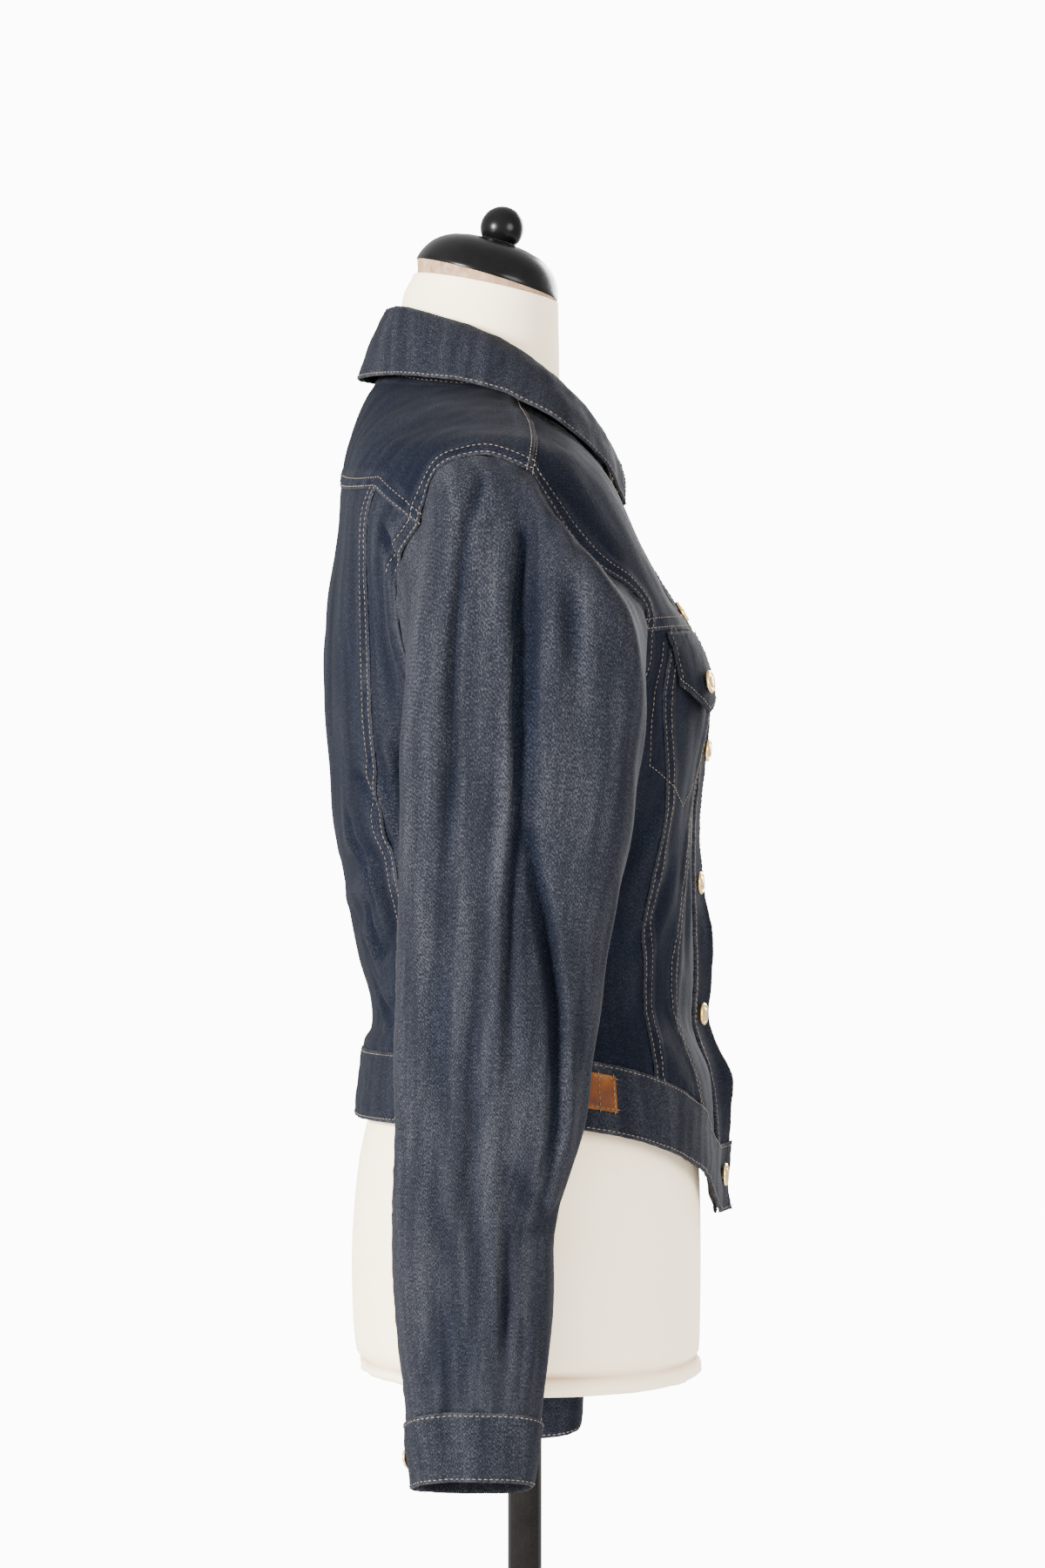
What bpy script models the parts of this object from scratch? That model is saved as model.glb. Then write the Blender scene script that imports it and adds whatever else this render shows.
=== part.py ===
"""A women's fitted denim jacket, buttoned up on a limbless dress form.

Units are metres and +Z is up. The wearer faces -Y, and the wearer's right is -X. The origin is on the
floor, on the axis of the stand's pole. The jacket's body is one smooth surface through a table of rings,
and each panel is the part of it between its seams, given a wall. The seams are short tables of real
positions on that surface.
"""
import math

import bpy
from mathutils import Matrix, Vector

# ---------------------------------------------------------------- driving sizes
CLOTH = 0.0018            # wall of the denim panels
BAND_CLOTH = 0.0022       # two layers of denim: waistband, cuffs, collar, flaps
SEAM_GAP = 0.0003         # gap between pieces that are sewn together
LAYER = 0.0024            # how far a piece that lies on another stands out
PLACKET_HALF = 0.020      # half the width of the button band
BUTTON_RADIUS = 0.0076
RIGHT, LEFT = -1.0, 1.0   # sign of X on the wearer's right and left

# A ring runs level round the body, from the centre front over the side to the centre back.
# Between its three heights it is an oval that is as square as the last column says: 2 is an ellipse.
RING = ("front_z", "side_z", "back_z", "front_y", "widest_y", "back_y", "half_width", "square")
JACKET_RINGS = (
    (0.895, 0.948, 0.947, -0.1275, -0.006, 0.1125, 0.168, 2.3),    # hem
    (0.940, 0.993, 0.992, -0.1265, -0.005, 0.1075, 0.163, 2.3),    # top of the waistband
    (0.972, 1.010, 1.006, -0.1230, -0.004, 0.1015, 0.156, 2.3),
    (1.004, 1.030, 1.026, -0.1120, -0.002, 0.1030, 0.149, 2.3),    # waist
    (1.040, 1.058, 1.054, -0.1125, 0.000, 0.1110, 0.147, 2.3),
    (1.088, 1.097, 1.097, -0.1110, 0.002, 0.1195, 0.151, 2.5),     # ribs
    (1.136, 1.140, 1.146, -0.1105, 0.004, 0.1275, 0.157, 2.7),
    (1.182, 1.184, 1.196, -0.1140, 0.006, 0.1300, 0.163, 2.7),
    (1.224, 1.226, 1.246, -0.1165, 0.008, 0.1330, 0.169, 2.6),     # bust
    (1.258, 1.266, 1.290, -0.1105, 0.012, 0.1295, 0.178, 2.8),
    (1.288, 1.306, 1.332, -0.0935, 0.019, 0.1240, 0.190, 2.8),
    (1.312, 1.345, 1.362, -0.0785, 0.024, 0.1215, 0.199, 2.6),     # outside the shoulders
    (1.331, 1.378, 1.386, -0.0670, 0.027, 0.1175, 0.186, 2.4),
    (1.348, 1.397, 1.406, -0.0595, 0.029, 0.1120, 0.146, 2.3),
    (1.363, 1.413, 1.424, -0.0565, 0.031, 0.1045, 0.103, 2.2),
    (1.376, 1.428, 1.440, -0.0540, 0.030, 0.0915, 0.063, 2.1),     # neckline
)
NECKLINE = len(JACKET_RINGS) - 1
BAND_TOP = 1
BUST_X, BUST_Z = 0.068, 1.222                      # the fullest point of the front
BUST_RISE, BUST_WIDE, BUST_TALL = 0.006, 0.038, 0.046
DROOP, DROOP_X, DROOP_TOP = 0.014, 0.080, 2.6      # the front ends of the waistband hang lower


def blend(edge0, edge1, value):
    """0 below edge0, 1 above edge1, smooth between."""
    share = min(max((value - edge0) / (edge1 - edge0), 0.0), 1.0)
    return share * share * (3.0 - 2.0 * share)


def along(rows, place):
    """The row at a fractional place in a table, on a smooth curve through its rows."""
    last = len(rows) - 1
    index = min(max(int(math.floor(place)), 0), last - 1)
    share = place - index
    before = rows[max(index - 1, 0)]
    here = rows[index]
    there = rows[index + 1]
    after = rows[min(index + 2, last)]
    result = []
    for a, b, c, d in zip(before, here, there, after):
        slope_b = (c - a) / 2.0 if index > 0 else c - b
        slope_c = (d - b) / 2.0 if index + 2 <= last else c - b
        cube, square = share ** 3, share ** 2
        result.append((2 * cube - 3 * square + 1) * b + (cube - 2 * square + share) * slope_b
                      + (3 * square - 2 * cube) * c + (cube - square) * slope_c)
    return result


def spaced(rows, count):
    """count + 1 rows, evenly spaced by length in the first two columns of a smooth curve."""
    fine = [along(rows, (len(rows) - 1) * i / 200.0) for i in range(201)]
    walk = [0.0]
    for a, b in zip(fine, fine[1:]):
        walk.append(walk[-1] + math.hypot(b[0] - a[0], b[1] - a[1]))
    result = []
    for i in range(count + 1):
        goal = walk[-1] * i / count
        step = next(k for k in range(200) if walk[k + 1] >= goal - 1e-12)
        share = (goal - walk[step]) / (walk[step + 1] - walk[step])
        result.append([a + (b - a) * share for a, b in zip(fine[step], fine[step + 1])])
    return result


def ring_point(rings, angle, level, front_dip=1.9, back_dip=2.2):
    """A point of the surface on the +X side: angle 0 is the centre front, pi the centre back.
    The dips say how steeply a ring leaves the height of its sides."""
    ring = dict(zip(RING, along(rings, level)))
    front = math.cos(angle) > 0.0
    reach = ring["widest_y"] - ring["front_y"] if front else ring["back_y"] - ring["widest_y"]
    power = ring["square"]
    across = abs(math.sin(angle)) / ring["half_width"]
    ahead = abs(math.cos(angle)) / reach
    radius = (across ** power + ahead ** power) ** (-1.0 / power)
    x = radius * math.sin(angle)
    y = ring["widest_y"] - radius * math.cos(angle)
    end_z = ring["front_z"] if front else ring["back_z"]
    dip = front_dip if front else back_dip
    z = ring["side_z"] + (end_z - ring["side_z"]) * abs(math.cos(angle)) ** dip
    return x, y, z


def jacket_point(angle, level):
    """The jacket's outer surface. A negative angle, or one past pi, is the wearer's right, -X."""
    angle = math.remainder(angle, math.tau)
    x, y, z = ring_point(JACKET_RINGS, abs(angle), level)
    if abs(angle) < math.pi / 2:
        bump = math.exp(-((x - BUST_X) / BUST_WIDE) ** 2 - ((z - BUST_Z) / BUST_TALL) ** 2)
        y -= BUST_RISE * bump
        z -= DROOP * (1.0 - blend(0.02, DROOP_X, x)) * (1.0 - blend(BAND_TOP, DROOP_TOP, level))
    return Vector((math.copysign(x, angle), y, z))


def normal_of(surface, a, b, step=1e-3):
    """Outward normal of a surface(a, b) whose a runs from the right over the front to the left."""
    along_a = surface(a + step, b) - surface(a - step, b)
    along_b = surface(a, b + step) - surface(a, b - step)
    return along_a.cross(along_b).normalized()


def jacket_normal(angle, level):
    return normal_of(jacket_point, angle, min(level, NECKLINE - 0.002))


def place_by_x(x, z, front=True):
    """(angle, level) of the surface's point with this half-breadth and height, on the +X side."""
    low, high = 0.0, float(NECKLINE)
    for _ in range(40):
        level = (low + high) / 2.0
        ring = dict(zip(RING, along(JACKET_RINGS, level)))
        reach = ring["widest_y"] - ring["front_y"] if front else ring["back_y"] - ring["widest_y"]
        share = min(x / ring["half_width"], 0.999)
        ahead = reach * (1.0 - share ** ring["square"]) ** (1.0 / ring["square"])
        angle = math.atan2(x, ahead if front else -ahead)
        low, high = (level, high) if jacket_point(angle, level).z < z else (low, level)
    return angle, level


def place_by_y(y, z):
    """(angle, level) of the surface's point with this depth and height, on the +X side."""
    low, high = 0.0, float(NECKLINE)
    for _ in range(40):
        level = (low + high) / 2.0
        ring = dict(zip(RING, along(JACKET_RINGS, level)))
        ahead = ring["widest_y"] - y
        reach = ring["widest_y"] - ring["front_y"] if ahead > 0.0 else ring["back_y"] - ring["widest_y"]
        share = min(abs(ahead) / reach, 0.999)
        out = ring["half_width"] * (1.0 - share ** ring["square"]) ** (1.0 / ring["square"])
        angle = math.atan2(out, ahead)
        low, high = (level, high) if jacket_point(angle, level).z < z else (low, level)
    return angle, level


# ---------------------------------------------------------------- seams of the body, on the +X side
# Seams seen from the front or back are given by (x, z), those seen from the side by (y, z).
SIDE_ROWS = 9              # rows of faces from the waistband to the armhole
INNER_V_XZ = ((0.080, 0.962), (0.085, 1.000), (0.083, 1.045), (0.075, 1.080), (0.066, 1.115),
              (0.056, 1.150), (0.048, 1.200), (0.045, 1.268))
OUTER_V_YZ = ((-0.084, 0.975), (-0.080, 1.004), (-0.077, 1.043), (-0.076, 1.076), (-0.083, 1.110),
              (-0.090, 1.144), (-0.091, 1.170), (-0.088, 1.222), (-0.093, 1.266))
SIDE_SEAM_Y = 0.002
BACK_SEAM_YZ = ((0.079, 0.993), (0.074, 1.030), (0.078, 1.080), (0.083, 1.115), (0.092, 1.138),
                (0.096, 1.177), (0.099, 1.222), (0.101, 1.279), (0.101, 1.330), (0.095, 1.355))
YOKE_FRONT_Z = 1.270
# The armhole, seen from the side, from its lowest point up the front, over the shoulder and down.
ARMHOLE_YZ = (
    (0.002, 1.185), (-0.030, 1.192), (-0.058, 1.212), (-0.073, 1.240), (-0.0755, 1.264),
    (-0.0765, 1.280), (-0.065, 1.293), (-0.045, 1.305), (-0.028, 1.323), (-0.013, 1.347),
    (-0.003, 1.364), (0.026, 1.374), (0.054, 1.366), (0.064, 1.343), (0.0665, 1.330), (0.078, 1.312),
    (0.082, 1.292), (0.078, 1.255), (0.062, 1.219), (0.036, 1.193), (0.002, 1.185),
)
FRONT_YOKE_END, SHOULDER_END, BACK_YOKE_END = 4, 10, 14     # where seams meet the armhole


def curve(places, count):
    """count + 1 places, evenly spread along a smooth line through the given places."""
    scaled = [(angle * 2.4, level) for angle, level in places]
    return [(a / 2.4, b) for a, b in spaced(scaled, count)]


ARMHOLE = [place_by_y(y, z) for y, z in ARMHOLE_YZ]
BOTTOM_TO_FRONT_YOKE = curve(ARMHOLE[:FRONT_YOKE_END + 1], 6)
FRONT_YOKE_TO_SHOULDER = curve(ARMHOLE[FRONT_YOKE_END:SHOULDER_END + 1], 8)
SHOULDER_TO_BACK_YOKE = curve(ARMHOLE[SHOULDER_END:BACK_YOKE_END + 1], 6)
BACK_YOKE_TO_BOTTOM = curve(ARMHOLE[BACK_YOKE_END:], 8)


# ---------------------------------------------------------------- places on the rings
def angle_by_x(x, level, front=True):
    ring = dict(zip(RING, along(JACKET_RINGS, level)))
    reach = ring["widest_y"] - ring["front_y"] if front else ring["back_y"] - ring["widest_y"]
    ahead = reach * (1.0 - (abs(x) / ring["half_width"]) ** ring["square"]) ** (1.0 / ring["square"])
    return math.copysign(math.atan2(abs(x), ahead if front else -ahead), x)


def angle_by_y(y, level):
    ring = dict(zip(RING, along(JACKET_RINGS, level)))
    ahead = ring["widest_y"] - y
    reach = ring["widest_y"] - ring["front_y"] if ahead > 0.0 else ring["back_y"] - ring["widest_y"]
    share = min(abs(ahead) / reach, 0.999)
    out = ring["half_width"] * (1.0 - share ** ring["square"]) ** (1.0 / ring["square"])
    return math.atan2(out, ahead)


def straight(start, end, count):
    """count + 1 places from start to end."""
    return [tuple(a + (b - a) * i / count for a, b in zip(start, end)) for i in range(count + 1)]


def joined(*lists):
    """Lists of places end to end, without the doubled ends."""
    result = list(lists[0])
    for places in lists[1:]:
        result += places[1:]
    return result


# ---------------------------------------------------------------- walls
def patch(left, right, bottom, top):
    """A grid of places inside four borders; rows run upward and columns from left to right."""
    last_row, last_col = len(left) - 1, len(bottom) - 1
    grid = []
    for i in range(last_row + 1):
        up = i / last_row
        row = []
        for j in range(last_col + 1):
            over = j / last_col
            row.append(tuple(
                (1 - up) * bottom[j][k] + up * top[j][k] + (1 - over) * left[i][k] + over * right[i][k]
                - (1 - up) * ((1 - over) * bottom[0][k] + over * bottom[-1][k])
                - up * ((1 - over) * top[0][k] + over * top[-1][k])
                for k in range(2)))
        grid.append(row)
    return grid


def on_side(grid, side):
    """A grid of the +X side, on the wearer's right or left, still from right to left."""
    if side == LEFT:
        return grid
    return [[(-angle, level) for angle, level in reversed(row)] for row in grid]


def drawn_in(points, amount, closed=False):
    """Move the border of a grid of points inward along the grid by amount."""
    moved = [[p.copy() for p in row] for row in points]
    for j in range(len(points[0])):
        moved[0][j] += (points[1][j] - points[0][j]).normalized() * amount
        moved[-1][j] += (points[-2][j] - points[-1][j]).normalized() * amount
    if not closed:
        for i in range(len(points)):
            moved[i][0] += (points[i][1] - points[i][0]).normalized() * amount
            moved[i][-1] += (points[i][-2] - points[i][-1]).normalized() * amount
    return moved


def wall(name, outer, inner, material, closed=False):
    """One closed solid between two grids of points. Closed grids are tubes, joined round their columns."""
    rows, cols = len(outer), len(outer[0])
    mesh = bpy.data.meshes.new(name)
    points = [p for row in outer for p in row] + [p for row in inner for p in row]
    half = rows * cols
    faces = []
    for i in range(rows - 1):
        for j in range(cols if closed else cols - 1):
            k = (j + 1) % cols
            a, b, c, d = i * cols + j, i * cols + k, (i + 1) * cols + k, (i + 1) * cols + j
            faces.append((a, b, c, d))
            faces.append((half + d, half + c, half + b, half + a))
    for j in range(cols if closed else cols - 1):
        k = (j + 1) % cols
        top = (rows - 1) * cols
        faces.append((j, half + j, half + k, k))
        faces.append((top + k, half + top + k, half + top + j, top + j))
    if not closed:
        for i in range(rows - 1):
            a, b = i * cols, (i + 1) * cols
            faces.append((b, half + b, half + a, a))
            a, b = a + cols - 1, b + cols - 1
            faces.append((a, half + a, half + b, b))
    mesh.from_pydata([tuple(p) for p in points], [], faces)
    return finish(name, mesh, material)


def finish(name, mesh, material):
    """Put a mesh in the model as an object with its own material."""
    obj = bpy.data.objects.new(name, mesh)
    mesh.materials.append(material)
    mesh.shade_smooth()
    mesh.set_sharp_from_angle(angle=math.radians(45))
    MODEL.objects.link(obj)
    return obj


def panel(name, places, material, thickness=CLOTH, lift=0.0):
    """A piece of cloth over a grid of places. Its outer face stands lift outside the jacket's surface."""
    outer, inner = [], []
    for row in places:
        points = [jacket_point(angle, level) for angle, level in row]
        normals = [jacket_normal(angle, level) for angle, level in row]
        outer.append([p + n * lift for p, n in zip(points, normals)])
        inner.append([p + n * (lift - thickness) for p, n in zip(points, normals)])
    half_gap = SEAM_GAP / 2
    return wall(name, drawn_in(outer, half_gap), drawn_in(inner, half_gap), material)


# ---------------------------------------------------------------- materials
def material(name, color, roughness, metallic=0.0):
    made = bpy.data.materials.new(name)
    made.use_nodes = True
    shader = made.node_tree.nodes["Principled BSDF"]
    shader.inputs["Base Color"].default_value = (*color, 1.0)
    shader.inputs["Roughness"].default_value = roughness
    shader.inputs["Metallic"].default_value = metallic
    return made


for old in list(bpy.data.objects):
    bpy.data.objects.remove(old)
MODEL = bpy.data.collections.new("denim_jacket_on_dress_form")
bpy.context.scene.collection.children.link(MODEL)
DENIM = material("denim", (0.036, 0.041, 0.052), 0.85)
GOLD = material("gold_metal", (0.80, 0.58, 0.25), 0.25, 1.0)
LEATHER = material("leather", (0.16, 0.05, 0.014), 0.5)
JERSEY = material("jersey", (0.83, 0.78, 0.71), 0.8)
RIM = material("tan_edge", (0.38, 0.25, 0.17), 0.7)
LACQUER = material("black_lacquer", (0.012, 0.011, 0.012), 0.2)
PAINT = material("black_paint", (0.015, 0.013, 0.012), 0.25)

# ---------------------------------------------------------------- panels of the body
FRONT_COLS, MID_COLS, SIDE_YOKE_COLS, BACK_YOKE_COLS, BACK_HALF_COLS = 4, 5, 3, 4, 6
SHOULDER_COLS = 5
NECK_FRONT_COLS = FRONT_COLS + MID_COLS + SIDE_YOKE_COLS - SHOULDER_COLS
NECK_BACK_COLS = BACK_YOKE_COLS + BACK_HALF_COLS - SHOULDER_COLS
YOKE_ROWS = len(FRONT_YOKE_TO_SHOULDER) - 1
FRONT_ROWS = SIDE_ROWS + len(BOTTOM_TO_FRONT_YOKE) - 1
BACK_ROWS = SIDE_ROWS + len(BACK_YOKE_TO_BOTTOM) - 1
TOP_BAND_EDGE = 0.0205                   # the sewn edge of the top band, right of the centre
UNDER_BAND_END = 0.012                   # how far the covered end of the left front passes the centre

front_yoke_end = BOTTOM_TO_FRONT_YOKE[-1]
back_yoke_end = SHOULDER_TO_BACK_YOKE[-1]
armhole_bottom = BOTTOM_TO_FRONT_YOKE[0]
inner_v = curve([(angle_by_x(INNER_V_XZ[0][0], BAND_TOP), BAND_TOP)]
                + [place_by_x(x, z) for x, z in INNER_V_XZ[1:]], FRONT_ROWS)
outer_v = curve([(angle_by_y(OUTER_V_YZ[0][0], BAND_TOP), BAND_TOP)]
                + [place_by_y(y, z) for y, z in OUTER_V_YZ[1:]], FRONT_ROWS)
back_seam = curve([(angle_by_y(BACK_SEAM_YZ[0][0], BAND_TOP), BAND_TOP)]
                  + [place_by_y(y, z) for y, z in BACK_SEAM_YZ[1:]], BACK_ROWS)
side_seam = [(angle_by_y(SIDE_SEAM_Y, level), level)
             for _, level in straight((0.0, BAND_TOP), armhole_bottom, SIDE_ROWS)]
shoulder_seam = curve([FRONT_YOKE_TO_SHOULDER[-1]]
                      + [(angle_by_y(y, level), level) for level, y in
                         ((13, -0.005), (14, 0.001), (NECKLINE, 0.006))], SHOULDER_COLS)
neck_side = shoulder_seam[-1]
BACK_YOKE_LEVEL = place_by_x(0.0, 1.3626, front=False)[1]


def front_edge(x):
    """The straight edge of a front, from the waistband to the yoke and from there to the neckline."""
    yoke_level = place_by_x(x, YOKE_FRONT_Z)[1]
    lower = [(angle_by_x(x, level), level)
             for _, level in straight((0, BAND_TOP), (0, yoke_level), FRONT_ROWS)]
    upper = [(angle_by_x(x, level), level)
             for _, level in straight((0, yoke_level), (0, NECKLINE), YOKE_ROWS)]
    return lower, upper


band_back = straight(back_seam[0], (math.pi, BAND_TOP), BACK_HALF_COLS)
band_seam = {}             # places along the top of the waistband, from the front edge to the centre back
for side, tag, edge_x in ((RIGHT, "r", TOP_BAND_EDGE + SEAM_GAP), (LEFT, "l", PLACKET_HALF)):
    lower_edge, upper_edge = front_edge(edge_x)
    front_low = straight(lower_edge[0], inner_v[0], FRONT_COLS)
    mid_low = straight(inner_v[0], outer_v[0], MID_COLS)
    side_low = straight(outer_v[0], side_seam[0], SIDE_YOKE_COLS)
    back_side_low = straight(side_seam[0], back_seam[0], BACK_YOKE_COLS)
    band_seam[side] = joined(front_low, mid_low, side_low, back_side_low, band_back)
    front_yoke_seam = straight(lower_edge[-1], inner_v[-1], FRONT_COLS)
    mid_yoke_seam = straight(inner_v[-1], outer_v[-1], MID_COLS)
    side_yoke_seam = straight(outer_v[-1], front_yoke_end, SIDE_YOKE_COLS)
    back_yoke_seam = straight(back_yoke_end, back_seam[-1], BACK_YOKE_COLS)

    panel(f"front_{tag}", on_side(patch(
        lower_edge, inner_v, front_low, front_yoke_seam), side), DENIM)
    panel(f"front_mid_{tag}", on_side(patch(
        inner_v, outer_v, mid_low, mid_yoke_seam), side), DENIM)
    panel(f"front_side_{tag}", on_side(patch(
        outer_v, joined(side_seam, BOTTOM_TO_FRONT_YOKE), side_low, side_yoke_seam), side), DENIM)
    panel(f"back_side_{tag}", on_side(patch(
        joined(side_seam, list(reversed(BACK_YOKE_TO_BOTTOM))), back_seam, back_side_low,
        back_yoke_seam), side), DENIM)
    neck_front = [(angle, NECKLINE) for angle, _ in straight(upper_edge[-1], neck_side, NECK_FRONT_COLS)]
    panel(f"front_yoke_{tag}", on_side(patch(
        upper_edge, FRONT_YOKE_TO_SHOULDER, joined(front_yoke_seam, mid_yoke_seam, side_yoke_seam),
        joined(neck_front, list(reversed(shoulder_seam)))), side), DENIM)


def across_back(places):
    """Places from the wearer's left to the centre back, carried on to the wearer's right."""
    return joined(places, [(2 * math.pi - angle, level) for angle, level in reversed(places)])


yoke_back = straight(back_seam[-1], (math.pi, BACK_YOKE_LEVEL), BACK_HALF_COLS)
panel("back_panel", patch(back_seam, [(2 * math.pi - a, b) for a, b in back_seam],
                          across_back(band_back), across_back(yoke_back)), DENIM)
neck_back = straight(neck_side, (math.pi, NECKLINE), NECK_BACK_COLS)
back_up = list(reversed(SHOULDER_TO_BACK_YOKE))
panel("back_yoke", patch(back_up, [(2 * math.pi - a, b) for a, b in back_up],
                         across_back(joined(back_yoke_seam, yoke_back)),
                         across_back(joined(shoulder_seam, neck_back))), DENIM)

# ---------------------------------------------------------------- button band, waistband and flaps
# How far the free edge of the top band curls forward, by height.
CURL_ZS = ((0.870, 0.009), (0.881, 0.009), (0.899, 0.0055), (0.922, 0.009), (0.946, 0.0115),
           (0.969, 0.0155), (0.990, 0.0115), (1.012, 0.0105), (1.030, 0.0115), (1.062, 0.0130),
           (1.100, 0.0075), (1.131, 0.0050), (1.190, 0.0050), (1.310, 0.0040), (1.345, 0.0015),
           (1.380, 0.0005))
CURL_FROM, CURL_TO = -0.006, 0.018       # across the band, from beside the buttons to the free edge
BAND_ROWS, BAND_COLS = 26, 4


def curl_at(x, z):
    """How far the free front edge stands forward at this place across the band."""
    row = next(i for i in range(len(CURL_ZS) - 1) if z <= CURL_ZS[i + 1][0] or i == len(CURL_ZS) - 2)
    (z0, c0), (z1, c1) = CURL_ZS[row], CURL_ZS[row + 1]
    most = c0 + (c1 - c0) * blend(z0, z1, z)
    share = min(max((x - CURL_FROM) / (CURL_TO - CURL_FROM), 0.0), 1.0)
    return most * share ** 1.5


def top_layer(angle, level, lift):
    """A point on the layer over the jacket's surface, with the curl of the free front edge."""
    p = jacket_point(angle, level)
    raised = p + jacket_normal(angle, level) * lift
    raised.y -= curl_at(p.x, p.z)
    return raised


def front_strip(name, low_x, high_x, thickness, low_level, lift=None):
    """A strip beside the centre front, from low_level to the neckline, between two half-breadths."""
    grid = []
    for _, level in straight((0, low_level), (0, NECKLINE), BAND_ROWS):
        grid.append([(angle_by_x(low_x + (high_x - low_x) * j / BAND_COLS, level), level)
                     for j in range(BAND_COLS + 1)])
    if lift is None:
        return panel(name, grid, DENIM, thickness)
    outer = [[top_layer(a, b, lift) for a, b in row] for row in grid]
    inner = [[top_layer(a, b, lift - thickness) for a, b in row] for row in grid]
    half_gap = SEAM_GAP / 2
    return wall(name, drawn_in(outer, half_gap), drawn_in(inner, half_gap), DENIM)


front_strip("placket_l", -UNDER_BAND_END, PLACKET_HALF, CLOTH, BAND_TOP)
front_strip("placket_r", -TOP_BAND_EDGE, CURL_TO, CLOTH, BAND_TOP, LAYER)

# The waistband starts under the top band, runs round the left side, the back and the right side,
# and ends on top of its own start.
WAIST_ROWS = 2
RISE_FROM, RISE_TO = -0.050, -0.020      # where the top end climbs over the under end, across the front
OVER_FROM = 1.7 * math.pi                # past this turn the band is near its end on top
LEAST_LEVEL = 0.05                       # a normal is taken no lower than here, just above the hem


def waistband_point(turn, up, depth):
    """A point of the waistband: turn is the angle from the centre front, up to a full turn and more."""
    level = BAND_TOP * up
    p = jacket_point(turn, level)
    n = jacket_normal(turn, max(level, LEAST_LEVEL))
    if turn < math.pi:
        return p - n * depth
    near_end = turn > OVER_FROM
    over = (BAND_CLOTH + 2 * SEAM_GAP) * blend(RISE_FROM, RISE_TO, p.x if near_end else RISE_FROM)
    raised = p + n * (over - depth)
    if near_end:
        raised.y -= curl_at(p.x, p.z)
    return raised


under_start = [angle_by_x(x, BAND_TOP)
               for x, _ in straight((-UNDER_BAND_END, 0), (PLACKET_HALF, 0), BAND_COLS)]
over_end = [math.tau + angle_by_x(x, BAND_TOP)
            for x, _ in straight((-TOP_BAND_EDGE, 0), (CURL_TO, 0), BAND_COLS)]
turns = (under_start[:-1] + [angle for angle, _ in band_seam[LEFT]]
         + [math.tau - angle for angle, _ in reversed(band_seam[RIGHT][1:-1])] + over_end)
wall("waistband",
     drawn_in([[waistband_point(t, i / WAIST_ROWS, 0.0) for t in turns] for i in range(WAIST_ROWS + 1)],
              SEAM_GAP / 2),
     drawn_in([[waistband_point(t, i / WAIST_ROWS, BAND_CLOTH) for t in turns]
               for i in range(WAIST_ROWS + 1)], SEAM_GAP / 2), DENIM)

# A pointed flap hangs from the yoke seam over each chest pocket: (half-breadth, height) of its corners.
FLAP_TOP_IN, FLAP_TOP_OUT = (0.047, 1.2645), (0.122, 1.2625)
FLAP_LOW_IN, FLAP_POINT, FLAP_LOW_OUT = (0.050, 1.2240), (0.086, 1.2125), (0.120, 1.2290)
FLAP_HALF_COLS, FLAP_ROWS = 3, 3
FLAP_LIFT = BAND_CLOTH + 0.0008


def between(start, end, count):
    return [place_by_x(*xz) for xz in straight(start, end, count)]


for side, tag in ((RIGHT, "r"), (LEFT, "l")):
    flap_low = joined(between(FLAP_LOW_IN, FLAP_POINT, FLAP_HALF_COLS),
                      between(FLAP_POINT, FLAP_LOW_OUT, FLAP_HALF_COLS))
    flap = patch(between(FLAP_LOW_IN, FLAP_TOP_IN, FLAP_ROWS), between(FLAP_LOW_OUT, FLAP_TOP_OUT, FLAP_ROWS),
                 flap_low, between(FLAP_TOP_IN, FLAP_TOP_OUT, 2 * FLAP_HALF_COLS))
    panel(f"pocket_flap_{tag}", on_side(flap, side), DENIM, BAND_CLOTH, FLAP_LIFT)

# ---------------------------------------------------------------- sleeves and cuffs, on the +X side
# A ring of the sleeve is an oval between an outer and an inner end, (x, z) each, with its centre's y,
# half its depth from front to back, and how square it is.
SLEEVE = ("outer_x", "outer_z", "inner_x", "inner_z", "centre_y", "half_depth", "square")
SLEEVE_RINGS = (
    (0.1915, 1.3745, 0.1655, 1.1850, 0.0040, 0.0810, 2.6),    # armhole
    (0.2150, 1.3550, 0.1690, 1.1730, 0.0000, 0.0775, 2.8),
    (0.2290, 1.3180, 0.1710, 1.1600, -0.0010, 0.0757, 2.8),
    (0.2360, 1.2680, 0.1715, 1.1450, 0.0005, 0.0755, 2.7),
    (0.2385, 1.2100, 0.1720, 1.1260, 0.0040, 0.0742, 2.6),    # upper arm
    (0.2385, 1.1500, 0.1715, 1.1030, 0.0068, 0.0722, 2.5),
    (0.2380, 1.0950, 0.1725, 1.0750, 0.0120, 0.0682, 2.4),
    (0.2375, 1.0420, 0.1735, 1.0380, 0.0155, 0.0655, 2.3),    # elbow
    (0.2370, 0.9900, 0.1745, 0.9900, 0.0198, 0.0622, 2.3),
    (0.2370, 0.9400, 0.1750, 0.9400, 0.0238, 0.0582, 2.3),
    (0.2375, 0.8925, 0.1755, 0.8925, 0.0320, 0.0512, 2.3),
    (0.2375, 0.8500, 0.1765, 0.8500, 0.0322, 0.0500, 2.3),
    (0.2370, 0.8120, 0.1785, 0.8080, 0.0293, 0.0492, 2.3),
    (0.2350, 0.7920, 0.1790, 0.7790, 0.0312, 0.0440, 2.3),
    (0.2310, 0.7750, 0.1800, 0.7570, 0.0315, 0.0420, 2.3),    # joins the cuff
)
CUFF_RINGS = (
    (0.2320, 0.7750, 0.1790, 0.7570, 0.0315, 0.0430, 2.3),
    (0.2315, 0.7550, 0.1795, 0.7380, 0.0315, 0.0410, 2.3),
    (0.2300, 0.7310, 0.1820, 0.7160, 0.0317, 0.0375, 2.3),
)
WRIST = len(SLEEVE_RINGS) - 1
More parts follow.
